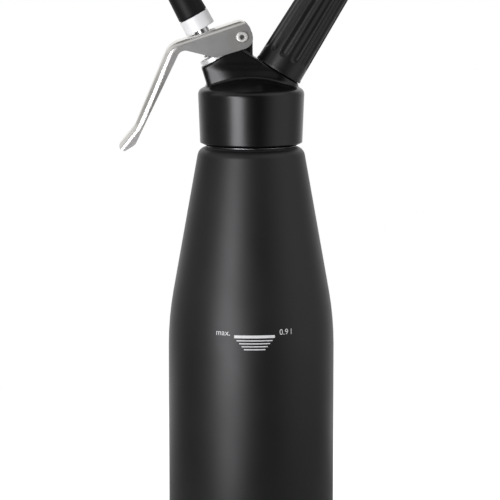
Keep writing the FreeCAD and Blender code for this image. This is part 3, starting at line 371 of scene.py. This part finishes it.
# ---------------------------------------------------------------- fill level mark
# White screen print on the front of the bottle: a thick line for the highest filling, four
# shorter lines under it, and plain lettering at both ends. It is a skin of ink, 0.03 mm thick.

INK = 0.03
MARK_HEIGHT = 136.9
MARKS = [(24.4, 1.7, 0.0), (21.5, 0.6, -2.3), (18.4, 0.6, -4.05), (15.5, 0.6, -5.8), (12.7, 0.6, -7.55)]
LETTERING = [("max.", -19.1, 0.6), ("0.9 l", 19.2, 0.8)]
LETTER_SIZE = 4.8

white_ink = make_coated("white_ink", colour=(0.80, 0.80, 0.80), patch=(0.72, 0.72, 0.73),
                        worn=(0.85, 0.85, 0.85), roughness=(0.45, 0.6), depth=0.004, fine=2600.0,
                        patch_scale=300.0)


def skin_radius(height):
    """The outer radius of the bottle's straight side and of the curve that leads to its cone."""
    start = CONE_START - CONE_BLEND * math.tan(math.atan(cone_slope) / 2)
    rise = np.maximum(height - start, 0)
    return BODY_RADIUS - (CONE_BLEND - np.sqrt(CONE_BLEND ** 2 - rise ** 2))


def wrapped(flat):
    """Flat points, as distances to the right and up from the mark, laid on the bottle's front."""
    height = MARK_HEIGHT + flat[:, 1]
    radius = skin_radius(height) + INK
    angle = flat[:, 0] / BODY_RADIUS
    return np.stack([radius * np.sin(angle), -radius * np.cos(angle), height], axis=-1)


def printed_line(width, thick, lift, steps=24):
    """A line of the mark, in short lengths that bend with the bottle."""
    across = np.linspace(-width / 2, width / 2, steps + 1)
    flat = np.array([(x, lift + side * thick / 2) for x in across for side in (-1, 1)])
    return wrapped(flat), [[2 * k, 2 * k + 2, 2 * k + 3, 2 * k + 1] for k in range(steps)]


def printed_word(word, middle, lift):
    """The word's outline as a fine mesh, so that it bends with the bottle."""
    curve = bpy.data.curves.new("word", "FONT")
    curve.body = word
    curve.size = LETTER_SIZE
    curve.align_x = "CENTER"
    curve.resolution_u = 3
    holder = bpy.data.objects.new("word", curve)
    mesh = bpy.data.meshes.new_from_object(holder)
    flat = np.array([(v.co.x + middle, v.co.y + lift) for v in mesh.vertices])
    faces = [list(p.vertices) for p in mesh.polygons]
    bpy.data.objects.remove(holder)
    return wrapped(flat), faces


def joined(parts):
    """Several sets of points and faces as one."""
    points, faces = [], []
    for more_points, more_faces in parts:
        faces += [[corner + len(points) for corner in face] for face in more_faces]
        points += [tuple(p) for p in more_points]
    return points, faces


parts = [printed_line(*mark) for mark in MARKS] + [printed_word(*word) for word in LETTERING]
level_mark = new_piece("level_mark", *joined(parts), standing(), white_ink)
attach(level_mark, "bottle")

# ---------------------------------------------------------------- head gasket
# A flat ring of black silicone in the ceiling of the head. It is pressed on the bottle's rim when
# the head is screwed down, and stays in its recess when the head comes off.

black_rubber = make_coated("black_rubber", colour=(0.012, 0.012, 0.012), patch=(0.018, 0.018, 0.018),
                           worn=(0.03, 0.03, 0.03), roughness=(0.62, 0.78), depth=0.015, fine=1200.0,
                           patch_scale=60.0)
dress(black_rubber, "head_gasket")

# ---------------------------------------------------------------- head casting
# One aluminium casting under a thick black enamel: the threaded collar, the low dome, the valve
# boss, the lug for the lever and the charger's stud, all run together with the mould's hollows.

# The stem's and the holder's axes: x, height and lean in degrees. The pivot: x and height.
STEM = (-20.6, 297.4, -28.8)
HOLDER = (16.2, 289.9, 31.5)
PIVOT, PIVOT_HOLE = (-5.9, 310.7), 2.55
LUG_RADIUS, LUG_HALF, LUG_FOOT = 6.5, 9.5, 285.0
FLANGE_RADIUS, FLANGE_GAP = 14.5, 0.3
SADDLE_HALF, SADDLE_CORNER = 10.8, 7.0
SADDLE_DRAFT, SADDLE_DRAFT_START = 0.035, -3.0
SADDLE_SPREAD, SADDLE_SPREAD_RANGE = 0.8, (-3.0, 22.0)
SADDLE_FLARE, SADDLE_FLARE_RANGE = 1.2, (296.0, 290.0)
BOSS_DRAFT, BOSS_FACET, BOSS_FACET_START = 0.17, 16.0, -1.0
FACET_EDGE, BOSS_EDGE, FLANGE_EDGE, LUG_EDGE = 1.5, 1.6, 1.2, 2.0
LUG_FILLET, DOME_FILLET = 1.2, 2.2

head_paint = make_coated("head_paint", colour=(0.0018, 0.0018, 0.0019), patch=(0.0026, 0.0026, 0.0027),
                         worn=(0.03, 0.03, 0.031), roughness=(0.26, 0.32), depth=0.006, fine=900.0)


def section(corners, step=0.25, margin=12):
    """The signed distance to a turned form's section, inside below zero, as a function of the
    distance from its axis and the height. It is read from a table that reaches past the form."""
    line = np.array([tuple(p) for p in rounded(corners)], np.float32)
    low = line.min(axis=0) - margin
    high = line.max(axis=0) + margin
    low[0] = 0
    across, height = (np.arange(low[k], high[k], step, dtype=np.float32) for k in (0, 1))
    spots = np.stack(np.meshgrid(across, height, indexing="ij"), axis=-1)
    nearest = np.full(spots.shape[:2], np.inf, np.float32)
    inside = np.zeros(spots.shape[:2], bool)
    for start, end in zip(line[:-1], line[1:]):
        along = end - start
        share = np.clip((spots - start) @ along / max(along @ along, 1e-9), 0, 1)
        nearest = np.minimum(nearest, np.linalg.norm(spots - start - share[..., None] * along, axis=-1))
        crossed = (spots[..., 1] < start[1]) != (spots[..., 1] < end[1])
        if along[1]:
            inside ^= crossed & (spots[..., 0] < start[0] + (spots[..., 1] - start[1]) * along[0] / along[1])
    table = np.where(inside, -nearest, nearest)

    def distance(radius, height):
        u = np.clip((radius - low[0]) / step, 0, table.shape[0] - 1.001)
        v = np.clip((height - low[1]) / step, 0, table.shape[1] - 1.001)
        i, j = u.astype(np.int32), v.astype(np.int32)
        u, v = u - i, v - j
        lower = table[i, j] * (1 - u) + table[i + 1, j] * u
        return lower * (1 - v) + (table[i, j + 1] * (1 - u) + table[i + 1, j + 1] * u) * v

    return distance


def about(axis, x, z):
    """The distance to the right of a leaning axis, and the height along it."""
    base_x, base_z, lean = axis
    sine, cosine = math.sin(math.radians(lean)), math.cos(math.radians(lean))
    off = (x - base_x) * cosine - (z - base_z) * sine
    return off, (x - base_x) * sine + (z - base_z) * cosine


def blended(first, second, reach):
    """Two forms joined with a fillet, as the mould's hollows give."""
    overlap = np.maximum(reach - np.abs(first - second), 0) / reach
    return np.minimum(first, second) - overlap * overlap * reach / 4


def trimmed(form, limit, reach):
    """What lies inside both, with a rounded edge where they meet."""
    return -blended(-form, -limit, reach)


def eased(value, start, end):
    """From 0 at the start to 1 at the end, level at both."""
    share = np.clip((value - start) / (end - start), 0, 1)
    return share * share * (3 - 2 * share)


dome = section([
    (0, 245.5), (27.3, 245.5), (30.7, 247.1), (31.9, 278.3, 4.0), (15.6, 286.4, 44.0), (0, 286.4)])
stud = section([(0, -6.3), (10.5, -6.3), (10.5, 12.0, 0.8), (0, 12.0)])
bore = section([(0, 230.0), (26.3, 230.0), (26.3, 267.0), (21.0, 267.0), (21.0, 273.0), (0, 273.0)])
clear_over_rim = section([(0, 0), (11.4, 0), (11.4, 40), (0, 40)])
valve_passage = section([
    (0, 4), (8.5, 4), (8.5, -9), (6, -9), (6, -24), (9, -24), (9, -44), (0, -44)])
gas_passage = section([
    (0, 16), (4.7, 16), (4.7, 0), (3, 0), (3, -16.6), (1.6, -16.6), (1.6, -23), (0, -23)])


def saddle(x, y, z, stem_off, stem_height, holder_off, holder_height):
    """The broad mass from the valve boss to the charger's flange, cut off square to both axes.
    Its sides spread towards the flange, and out again at its foot. The boss grows towards its
    foot, and a facet takes off its front corner."""
    half = SADDLE_HALF - SADDLE_DRAFT * np.minimum(stem_height - SADDLE_DRAFT_START, 0)
    half = half + SADDLE_SPREAD * eased(x, *SADDLE_SPREAD_RANGE)
    flare = SADDLE_FLARE * eased(z, *SADDLE_FLARE_RANGE)
    front = np.abs(y) * half / (half + flare)
    right = np.maximum(holder_off, 0) * half / FLANGE_RADIUS
    at_flange = np.sqrt(right ** 2 + front ** 2) - half
    core = half - SADDLE_CORNER
    left = np.maximum(-stem_off - core + BOSS_DRAFT * np.minimum(stem_height, 0), 0)
    at_boss = np.sqrt(left ** 2 + np.maximum(front - core, 0) ** 2) - SADDLE_CORNER
    facet = math.radians(BOSS_FACET)
    past_facet = (front - half) * math.cos(facet) - (stem_off - BOSS_FACET_START) * math.sin(facet)
    side = trimmed(np.where(stem_off < 0, at_boss, at_flange), past_facet, FACET_EDGE)
    return trimmed(trimmed(side, stem_height, BOSS_EDGE), holder_height + FLANGE_GAP, FLANGE_EDGE)


def lug(x, y, z):
    """The ear between the lever's cheeks, round about the pivot."""
    side = np.sqrt((x - PIVOT[0]) ** 2 + np.maximum(z - PIVOT[1], 0) ** 2) - LUG_RADIUS
    return trimmed(np.maximum(side, LUG_FOOT - z), np.abs(y) - LUG_HALF, LUG_EDGE)


def casting(x, y, z):
    """The signed distance to the head's surface."""
    stem_off, stem_height = about(STEM, x, z)
    holder_off, holder_height = about(HOLDER, x, z)
    radius = np.sqrt(x * x + y * y)
    stem_radius = np.sqrt(stem_off * stem_off + y * y)
    holder_radius = np.sqrt(holder_off * holder_off + y * y)
    mass = saddle(x, y, z, stem_off, stem_height, holder_off, holder_height)
    form = blended(mass, lug(x, y, z), LUG_FILLET)
    form = np.maximum(form, -clear_over_rim(stem_radius, stem_height))
    form = blended(form, dome(radius, z), DOME_FILLET)
    form = np.minimum(form, stud(holder_radius, holder_height))
    form = np.maximum(form, -bore(radius, z))
    form = np.maximum(form, -valve_passage(stem_radius, stem_height))
    form = np.maximum(form, -gas_passage(holder_radius, holder_height))
    pivot_hole = np.sqrt((x - PIVOT[0]) ** 2 + (z - PIVOT[1]) ** 2) - PIVOT_HOLE
    return np.maximum(form, -pivot_hole)


def make_head_casting(low=(-36, -33, 243), high=(36, 33, 320), step=0.5, passes=3, probe=0.1, most=0.3):
    """The casting's surface from its distances on a grid. In each pass, every point then moves
    onto it along the slope, which a probe to both sides gives, and by no more than the most."""
    axes = [np.arange(a, b, step, dtype=np.float32) for a, b in zip(low, high)]
    grid = openvdb.FloatGrid()
    grid.copyFromArray(casting(*np.meshgrid(*axes, indexing="ij")).astype(np.float32))
    points, quads = grid.convertToQuads(0.0)
    points = points.astype(np.float64) * step + np.array(low)
    for _ in range(passes):
        slope = np.stack([
            casting(*(points + shift).T) - casting(*(points - shift).T)
            for shift in np.eye(3) * probe], axis=-1)
        slope /= np.maximum(np.linalg.norm(slope, axis=-1, keepdims=True), 1e-9)
        points -= slope * np.clip(casting(*points.T), -most, most)[:, None]
    return points, quads[:, ::-1].tolist()


points, quads = make_head_casting()
head_casting = new_piece("head_casting", points, quads, standing(), head_paint, crease=50.0)
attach(head_casting, "head")
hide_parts("head")

# ---------------------------------------------------------------- valve
# A turned guide nut, a drawn stem on a coil spring, an O-ring and the seal that the tail nut
# holds. The metal ones are turned from aluminium and plated steel, and wound from spring wire.

SPRING_RADIUS, SPRING_WIRE, SPRING_TURNS, STROKE = 5.7, 0.6, 4.5, 3.0

turned_aluminium = make_metal("turned_aluminium", colour=(0.97, 0.97, 0.97), patch=(0.93, 0.93, 0.94),
                              roughness=(0.36, 0.46), lean=STEM[2], across=80.0, along=3000.0,
                              metallic=0.45)
plated_steel = make_metal("plated_steel", colour=(0.72, 0.72, 0.73), patch=(0.60, 0.60, 0.62),
                          roughness=(0.16, 0.30), lean=STEM[2], across=200.0, along=2400.0, depth=0.003)
spring_wire = make_metal("spring_wire", colour=(0.55, 0.54, 0.53), patch=(0.42, 0.41, 0.40),
                         roughness=(0.22, 0.36), across=2600.0, along=2600.0, depth=0.003)
dress(turned_aluminium, "stem_guide_nut")
dress(plated_steel, "valve_stem", "seal_washer", "seal_nut")
dress(black_rubber, "stem_o_ring", "valve_seal")


def wound(foot, top, steps=150, sides=12):
    """A round wire wound from the foot to the top, with a face on each cut end."""
    points, faces = [], []
    for k in range(steps + 1):
        turn = 2 * math.pi * SPRING_TURNS * k / steps
        middle = foot + SPRING_WIRE + (top - foot - 2 * SPRING_WIRE) * k / steps
        for side in range(sides):
            round_wire = 2 * math.pi * side / sides
            radius = SPRING_RADIUS + SPRING_WIRE * math.cos(round_wire)
            height = middle + SPRING_WIRE * math.sin(round_wire)
            points.append((radius * math.cos(turn), radius * math.sin(turn), height))
    for k in range(steps):
        for side in range(sides):
            here, after = k * sides + side, k * sides + (side + 1) % sides
            faces.append([here, here + sides, after + sides, after])
    faces.append(list(range(sides)))
    faces.append([steps * sides + side for side in reversed(range(sides))])
    return points, faces


spring_points = nodes["valve_spring"].data.vertices
spring_heights = [about(STEM, v.co.x / MM, v.co.z / MM)[1] for v in spring_points]
spring_foot, spring_top = min(spring_heights), max(spring_heights)
valve_coil = new_piece("valve_coil", *wound(spring_foot, spring_top), standing(*STEM), spring_wire)
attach(valve_coil, "head")
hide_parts("valve_spring")
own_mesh(valve_coil)

# ---------------------------------------------------------------- nozzle adapter and nozzle
# The adapter is turned and bead-blasted, and pushed on the stem. The star nozzle is moulded in
# black plastic and screws on its stub over a thin seal.

blasted_aluminium = make_metal("blasted_aluminium", colour=(0.98, 0.98, 0.98), patch=(0.96, 0.96, 0.97),
                               roughness=(0.45, 0.55), lean=STEM[2], across=1800.0, along=1800.0,
                               depth=0.006, metallic=0.15)
nozzle_plastic = make_coated("nozzle_plastic", colour=(0.005, 0.005, 0.0055),
                             patch=(0.007, 0.007, 0.0075), worn=(0.02, 0.02, 0.02),
                             roughness=(0.48, 0.56), depth=0.008, fine=1100.0, patch_scale=40.0,
                             Specular_IOR_Level=0.22)
dress(blasted_aluminium, "nozzle_adapter")
dress(nozzle_plastic, "nozzle")
dress(black_rubber, "nozzle_seal")

# ---------------------------------------------------------------- lever
# Stainless sheet, 2 mm thick, pressed to a channel and tumbled to a dull grain. The bends and
# the cut edges are painted in a lighter colour, a painted highlight along them.

GRAIN_LEAN = 72.0
lever_steel, tree, shader = new_material("lever_steel", Metallic=1.0)
relief = use_group(tree, grain, Fine_scale=1500.0, Patch_scale=45.0)
marks = use_group(tree, tool_marks, Lean=math.radians(GRAIN_LEAN), Across=2800.0, Along=2800.0,
                  Scratch=900.0)
# Painted highlight: the edge mask lightens the sheet's colour on the bends and cut edges.
painted_edge_highlight = use_group(tree, edge_wear_and_highlight, Start=0.51, Full=0.60, Breaks=20.0)
tint = spread(tree, relief.outputs["Patches"], 0, 1)
sheet_colour = tinted(tree, tint, (0.86, 0.85, 0.82), (0.78, 0.76, 0.72))
lever_colour = tinted(tree, painted_edge_highlight.outputs["Edge mask"], sheet_colour, (0.95, 0.94, 0.92))
tree.links.new(lever_colour, shader.inputs["Base Color"])
tree.links.new(spread(tree, marks.outputs["Scratches"], 0.29, 0.34), shader.inputs["Roughness"])
raise_bumps(tree, shader, marks.outputs["Marks"], 0.0006)
dress(lever_steel, "lever")

# ---------------------------------------------------------------- lever pivot
# A plated socket screw through both cheeks and the lug, with a cap nut behind, and two black
# nylon washers beside the lug. The plating is satin, and the screw's socket is painted dark as painted
# shade.

SOCKET_ACROSS = 3.0
# Painted shade in the socket: a dark disc round the pivot's axis, on the screw and the nut.
SOCKET_SHADE_START, SOCKET_SHADE_FULL = 0.56 * SOCKET_ACROSS, 0.4 * SOCKET_ACROSS
pivot_steel, tree, shader = new_material("pivot_steel", Metallic=1.0)
relief = use_group(tree, grain, Fine_scale=1800.0, Patch_scale=400.0)
place = add(tree, "ShaderNodeTexCoord")
from_pivot = add(tree, "ShaderNodeVectorMath", operation="SUBTRACT")
from_pivot.inputs[1].default_value = (PIVOT[0] * MM, 0, PIVOT[1] * MM)
flat = add(tree, "ShaderNodeVectorMath", operation="MULTIPLY")
flat.inputs[1].default_value = (1, 0, 1)
reach = add(tree, "ShaderNodeVectorMath", operation="LENGTH")
socket_shade_mask = add(tree, "ShaderNodeMapRange", {"From Min": SOCKET_SHADE_START * MM, "From Max": SOCKET_SHADE_FULL * MM})
tree.links.new(place.outputs["Object"], from_pivot.inputs[0])
tree.links.new(from_pivot.outputs["Vector"], flat.inputs[0])
tree.links.new(flat.outputs["Vector"], reach.inputs[0])
tree.links.new(reach.outputs["Value"], socket_shade_mask.inputs["Value"])
tint = spread(tree, relief.outputs["Patches"], 0, 1)
plating = tinted(tree, tint, (0.95, 0.94, 0.92), (0.86, 0.85, 0.82))
# The dark colour of the socket's painted shade.
socket_painted_shade = tinted(tree, tint, (0.10, 0.10, 0.10), (0.38, 0.37, 0.35))
tree.links.new(tinted(tree, socket_shade_mask.outputs["Result"], plating, socket_painted_shade), shader.inputs["Base Color"])
tree.links.new(spread(tree, relief.outputs["Patches"], 0.40, 0.50), shader.inputs["Roughness"])
raise_bumps(tree, shader, relief.outputs["Fine"], 0.003)
nylon = make_coated("nylon", colour=(0.02, 0.02, 0.02), patch=(0.028, 0.028, 0.028),
                    worn=(0.05, 0.05, 0.05), roughness=(0.45, 0.6), depth=0.006, fine=1600.0,
                    patch_scale=80.0)
dress(pivot_steel, "lever_pivot_screw", "lever_pivot_nut")
dress(nylon, "lever_washers")

# ---------------------------------------------------------------- piercing pin
# A brass pin pressed in the stud, with a flat seal for the charger's mouth and a rubber sleeve
# over its cross hole that lets gas through one way only.

brass = make_metal("brass", colour=(0.80, 0.58, 0.28), patch=(0.70, 0.48, 0.21),
                   roughness=(0.20, 0.34), lean=HOLDER[2], across=100.0, along=2600.0)
dress(brass, "piercing_pin")
dress(black_rubber, "pin_seal", "non_return_sleeve")

# ---------------------------------------------------------------- gas charger
# A deep-drawn steel capsule with a dull zinc coat, streaked along its length by the drawing. It
# stands in the holder with its pierced mouth on the pin's seal.

zinc = make_metal("zinc", colour=(0.62, 0.63, 0.64), patch=(0.50, 0.51, 0.53),
                  roughness=(0.30, 0.46), lean=HOLDER[2], across=700.0, along=90.0, depth=0.006)
dress(zinc, "gas_charger")

# ---------------------------------------------------------------- charger holder
# A black moulded grip with twelve round-ended flutes, over a threaded aluminium sleeve, with a
# rubber cushion in its crown that presses the charger on the pin.

GRIP_RADIUS, GRIP_LENGTH, GRIP_TAPER, GRIP_CROWN = 15.0, 80.0, 1.4, 7.0
GRIP_LAND, GRIP_STEP, GRIP_EDGE = 1.5, 0.3, 0.3
GRIP_BORE, GRIP_CEILING, INSERT_RADIUS, INSERT_LENGTH = 9.6, 71.7, 12.2, 15.0
FLUTES, FLUTE_COLUMNS, FLUTE_PHASE = 12, 20, 15.0
FLUTE_TOOL, FLUTE_DEPTH, FLUTE_SOFT = 3.4, 1.3, 0.3
FLUTE_LOW, FLUTE_HIGH = 7.9, 71.0
FLUTE_FOOT, FLUTE_TOP, FLUTE_STEP = (FLUTE_LOW - 1, FLUTE_LOW + 5), (FLUTE_HIGH - 5, FLUTE_HIGH + 2), 0.4

holder_plastic = make_coated("holder_plastic", colour=(0.004, 0.004, 0.004),
                             patch=(0.006, 0.006, 0.006), worn=(0.04, 0.04, 0.04),
                             roughness=(0.31, 0.39), depth=0.008, fine=1300.0, patch_scale=30.0,
                             Specular_IOR_Level=0.5)
grip_slope = math.tan(math.radians(GRIP_TAPER))
grip_top = GRIP_RADIUS - GRIP_LENGTH * grip_slope


def flutes(angle, radius, height):
    """Grooves of a round-ended cutter that follows the grip's taper, with softened edges."""
    pitch = 2 * math.pi / FLUTES
    off = (angle + pitch / 2) % pitch - pitch / 2
    past = np.maximum(FLUTE_LOW + FLUTE_TOOL - height, height - FLUTE_HIGH + FLUTE_TOOL)
    tool = np.sqrt(np.maximum(FLUTE_TOOL ** 2 - np.maximum(past, 0) ** 2, 0))
    middle = GRIP_RADIUS - FLUTE_DEPTH + FLUTE_TOOL - height * grip_slope
    groove = middle * np.cos(off) - np.sqrt(np.maximum(tool ** 2 - (middle * np.sin(off)) ** 2, 0))
    overlap = np.maximum(FLUTE_SOFT - np.abs(radius - groove), 0) / FLUTE_SOFT
    soft = np.minimum(radius, groove) - overlap * overlap * FLUTE_SOFT / 4
    fluted = (height > FLUTE_LOW) & (height < FLUTE_HIGH) & (radius > GRIP_BORE + 1)
    return np.where(fluted, soft, radius)


grip_foot = Vector((GRIP_RADIUS - GRIP_STEP, GRIP_LAND))
grip_end = Vector((grip_top, GRIP_LENGTH))
flute_ends = [tuple(grip_foot.lerp(grip_end, (height - GRIP_LAND) / (GRIP_LENGTH - GRIP_LAND)))
              for height in (*FLUTE_FOOT, FLUTE_TOP[0])]
grip_line = rounded([
    (INSERT_RADIUS, 0.0), (GRIP_RADIUS, 0.0, GRIP_EDGE), (GRIP_RADIUS, GRIP_LAND), tuple(grip_foot),
    *flute_ends, (*grip_end, GRIP_CROWN), (0.0, GRIP_LENGTH), (0.0, GRIP_CEILING),
    (GRIP_BORE, GRIP_CEILING), (GRIP_BORE, INSERT_LENGTH), (INSERT_RADIUS, INSERT_LENGTH),
    (INSERT_RADIUS, 0.0),
])
grip_line = divided(grip_line, *FLUTE_FOOT, FLUTE_STEP)
grip_line = divided(grip_line, *FLUTE_TOP, FLUTE_STEP)
charger_grip = turned("charger_grip", grip_line, holder_plastic, standing(*HOLDER, FLUTE_PHASE),
                      around=FLUTES * FLUTE_COLUMNS, shape=flutes)
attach(charger_grip, "holder")
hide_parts("charger_holder")
dress(turned_aluminium, "holder_insert")
dress(black_rubber, "holder_cushion")

# ---------------------------------------------------------------- studio
# A small white floor that fades into a white surround, a tall soft lamp with a reflector beside it
# on the left, a broad weak light on the right, one overhead, and a backdrop behind. The front
# stays dark, so that black surfaces look black. Azimuth 0 is the camera's side, and +90 is +X.

FLOOR_RADIUS, FLOOR_SETBACK, FLOOR_CORNERS = 0.44, 0.12, 96
FLOOR_WHITE, FLOOR_FADE, FLOOR_REAR, FLOOR_GLOW = 0.75, (0.12, 0.42), (0.0, 0.2), 0.82
LAMP_AZIMUTH, LAMP_DISTANCE, LAMP_HEIGHT, LAMP_AIM, LAMP_TILT = -33.5, 1.25, 0.12, 0.24, 16.0
LAMP_WIDTH, LAMP_TALL, LAMP_LEVEL, LAMP_COLOUR = 0.52, 1.12, 7.5, (0.97, 0.97, 1.0)
HORIZON = [(-180, 1.0), (-160, 1.0), (-148, 0.9), (-138, 0.7), (-128, 0.48), (-118, 0.32), (-100, 0.25),
           (-60, 0.2), (0, 0.015), (20, 0.02), (38, 0.45), (55, 0.95), (85, 0.85), (102, 0.45),
           (118, 0.4), (132, 0.65), (145, 0.95), (160, 1.0), (180, 1.0)]
BACKDROP_TURN, BACKDROP_TOP, BACKDROP_SEEN = (100, 135), (54, 38), (140, 160)
SIDES_TOP = (62, 40)
OVERHEAD_FOOT, OVERHEAD_TOP, OVERHEAD_LEVEL = (34, 46), (78, 66), 0.7
REFLECTOR_BACK, REFLECTOR_FRONT = (-138, -116), (-56, -70)
REFLECTOR_FOOT, REFLECTOR_TOP, REFLECTOR_LEVEL = (10, 20), (46, 34), 0.7
FILL_LEVEL = 0.012


def ramp(tree, source, start, end):
    """A soft step that is 0 where the source is at the start, and 1 where it is at the end."""
    made = add(tree, "ShaderNodeMapRange", {"From Min": start, "From Max": end},
               interpolation_type="SMOOTHSTEP")
    tree.links.new(source, made.inputs["Value"])
    return made.outputs["Result"]


def calc(tree, operation, *terms):
    """A sum in the tree. Each term is a number, or an output of the tree."""
    made = add(tree, "ShaderNodeMath", operation=operation)
    for k, term in enumerate(terms):
        if isinstance(term, (int, float)):
            made.inputs[k].default_value = term
        else:
            tree.links.new(term, made.inputs[k])
    return made.outputs["Value"]


floor_mesh = bpy.data.meshes.new("floor")
floor_angles = np.linspace(0, 2 * math.pi, FLOOR_CORNERS, endpoint=False)
floor_rim = [(math.cos(a) * FLOOR_RADIUS, math.sin(a) * FLOOR_RADIUS, 0.0) for a in floor_angles]
floor_mesh.from_pydata(floor_rim, [], [list(range(FLOOR_CORNERS))])
floor = bpy.data.objects.new("floor", floor_mesh)
floor.location.y = FLOOR_SETBACK
scene.collection.objects.link(floor)

floor_paper, tree, shader = new_material("floor_paper", Roughness=0.9, Specular_IOR_Level=0.0)
place = add(tree, "ShaderNodeTexCoord")
far_out = add(tree, "ShaderNodeVectorMath", operation="LENGTH")
tree.links.new(place.outputs["Object"], far_out.inputs[0])
fade = ramp(tree, far_out.outputs["Value"], *FLOOR_FADE)
paper_colour = tinted(tree, fade, (FLOOR_WHITE,) * 3, (0.0, 0.0, 0.0))
tree.links.new(paper_colour, shader.inputs["Base Color"])
spot = add(tree, "ShaderNodeSeparateXYZ")
tree.links.new(place.outputs["Object"], spot.inputs["Vector"])
rear = ramp(tree, spot.outputs["Y"], *FLOOR_REAR)
rays = add(tree, "ShaderNodeLightPath")
mirrored = calc(tree, "MULTIPLY", rays.outputs["Is Glossy Ray"], rear)
straight = calc(tree, "MAXIMUM", rays.outputs["Is Camera Ray"], rays.outputs["Is Transmission Ray"])
seen = calc(tree, "MAXIMUM", straight, mirrored)
glow = calc(tree, "MULTIPLY_ADD", fade, 1.0 - FLOOR_GLOW, FLOOR_GLOW)
shader.inputs["Emission Color"].default_value = (1, 1, 1, 1)
tree.links.new(calc(tree, "MULTIPLY", seen, glow), shader.inputs["Emission Strength"])
floor_mesh.materials.append(floor_paper)

lamp = bpy.data.lights.new("main_lamp", "AREA")
lamp.shape = "RECTANGLE"
lamp.size = LAMP_WIDTH
lamp.size_y = LAMP_TALL
lamp.color = LAMP_COLOUR
lamp.energy = LAMP_LEVEL * math.pi * LAMP_WIDTH * LAMP_TALL
stand = bpy.data.objects.new("main_lamp", lamp)
scene.collection.objects.link(stand)
turn = math.radians(LAMP_AZIMUTH)
stand.location = (math.sin(turn) * LAMP_DISTANCE, -math.cos(turn) * LAMP_DISTANCE, LAMP_HEIGHT)
aim = Vector((0, 0, LAMP_AIM)) - stand.location
leaning = Quaternion((0, 0, 1), math.radians(LAMP_TILT))
stand.rotation_euler = (aim.to_track_quat("-Z", "Y") @ leaning).to_euler()
stand.visible_camera = False

world = bpy.data.worlds.new("studio")
scene.world = world
world.use_nodes = True
tree = world.node_tree
tree.nodes.clear()
way = add(tree, "ShaderNodeTexCoord")
split = add(tree, "ShaderNodeSeparateXYZ")
tree.links.new(way.outputs["Generated"], split.inputs["Vector"])
to_camera = calc(tree, "MULTIPLY", split.outputs["Y"], -1.0)
around = calc(tree, "DEGREES", calc(tree, "ARCTAN2", split.outputs["X"], to_camera))
to_side = calc(tree, "ABSOLUTE", around)
rise = calc(tree, "DEGREES", calc(tree, "ARCSINE", split.outputs["Z"]))

circle = add(tree, "ShaderNodeValToRGB")
circle.color_ramp.interpolation = "LINEAR"
stops = circle.color_ramp.elements
for k, (azimuth, level) in enumerate(HORIZON):
    share = azimuth / 360 + 0.5
    stop = stops[0] if k == 0 else stops[-1] if k == len(HORIZON) - 1 else stops.new(share)
    stop.position = share
    stop.color = (level, level, level, 1)
tree.links.new(calc(tree, "MULTIPLY_ADD", around, 1 / 360, 0.5), circle.inputs["Fac"])

behind = ramp(tree, to_side, *BACKDROP_TURN)
in_front = calc(tree, "SUBTRACT", 1.0, behind)
under_top = ramp(tree, rise, *BACKDROP_TOP)
tall_backdrop = calc(tree, "MULTIPLY", under_top, behind)
low_sides = calc(tree, "MULTIPLY", ramp(tree, rise, *SIDES_TOP), in_front)
sides = calc(tree, "MULTIPLY", circle.outputs["Color"], calc(tree, "ADD", tall_backdrop, low_sides))

overhead = calc(tree, "MULTIPLY", ramp(tree, rise, *OVERHEAD_FOOT), ramp(tree, rise, *OVERHEAD_TOP))
overhead = calc(tree, "MULTIPLY", overhead, calc(tree, "MULTIPLY", in_front, OVERHEAD_LEVEL))
broad = calc(tree, "MULTIPLY", ramp(tree, around, *REFLECTOR_BACK), ramp(tree, around, *REFLECTOR_FRONT))
tall = calc(tree, "MULTIPLY", ramp(tree, rise, *REFLECTOR_FOOT), ramp(tree, rise, *REFLECTOR_TOP))
reflector = calc(tree, "MULTIPLY", calc(tree, "MULTIPLY", broad, tall), REFLECTOR_LEVEL)
lights = calc(tree, "ADD", calc(tree, "ADD", sides, reflector), calc(tree, "ADD", overhead, FILL_LEVEL))

studio_light = add(tree, "ShaderNodeBackground")
tree.links.new(lights, studio_light.inputs["Strength"])
white = add(tree, "ShaderNodeBackground", {"Color": (1, 1, 1, 1), "Strength": 1.0})
rays = add(tree, "ShaderNodeLightPath")
backdrop = calc(tree, "MULTIPLY", ramp(tree, to_side, *BACKDROP_SEEN), under_top)
mirrored = calc(tree, "MULTIPLY", rays.outputs["Is Glossy Ray"], backdrop)
straight = calc(tree, "MAXIMUM", rays.outputs["Is Camera Ray"], rays.outputs["Is Transmission Ray"])
choose = add(tree, "ShaderNodeMixShader")
tree.links.new(calc(tree, "MAXIMUM", straight, mirrored), choose.inputs["Fac"])
tree.links.new(studio_light.outputs["Background"], choose.inputs[1])
tree.links.new(white.outputs["Background"], choose.inputs[2])
surface = add(tree, "ShaderNodeOutputWorld")
tree.links.new(choose.outputs["Shader"], surface.inputs["Surface"])

camera = bpy.data.objects.new("camera", bpy.data.cameras.new("camera"))
scene.collection.objects.link(camera)
scene.camera = camera
camera.location = (-0.06194, -1.52413, 0.39327)
camera.rotation_euler = (math.radians(90 - 7.9), 0, math.radians(-2.3))
camera.data.sensor_width = 36.0
camera.data.lens = 183.63
camera.data.clip_start, camera.data.clip_end = 0.05, 50.0

scene.view_settings.view_transform = "Standard"
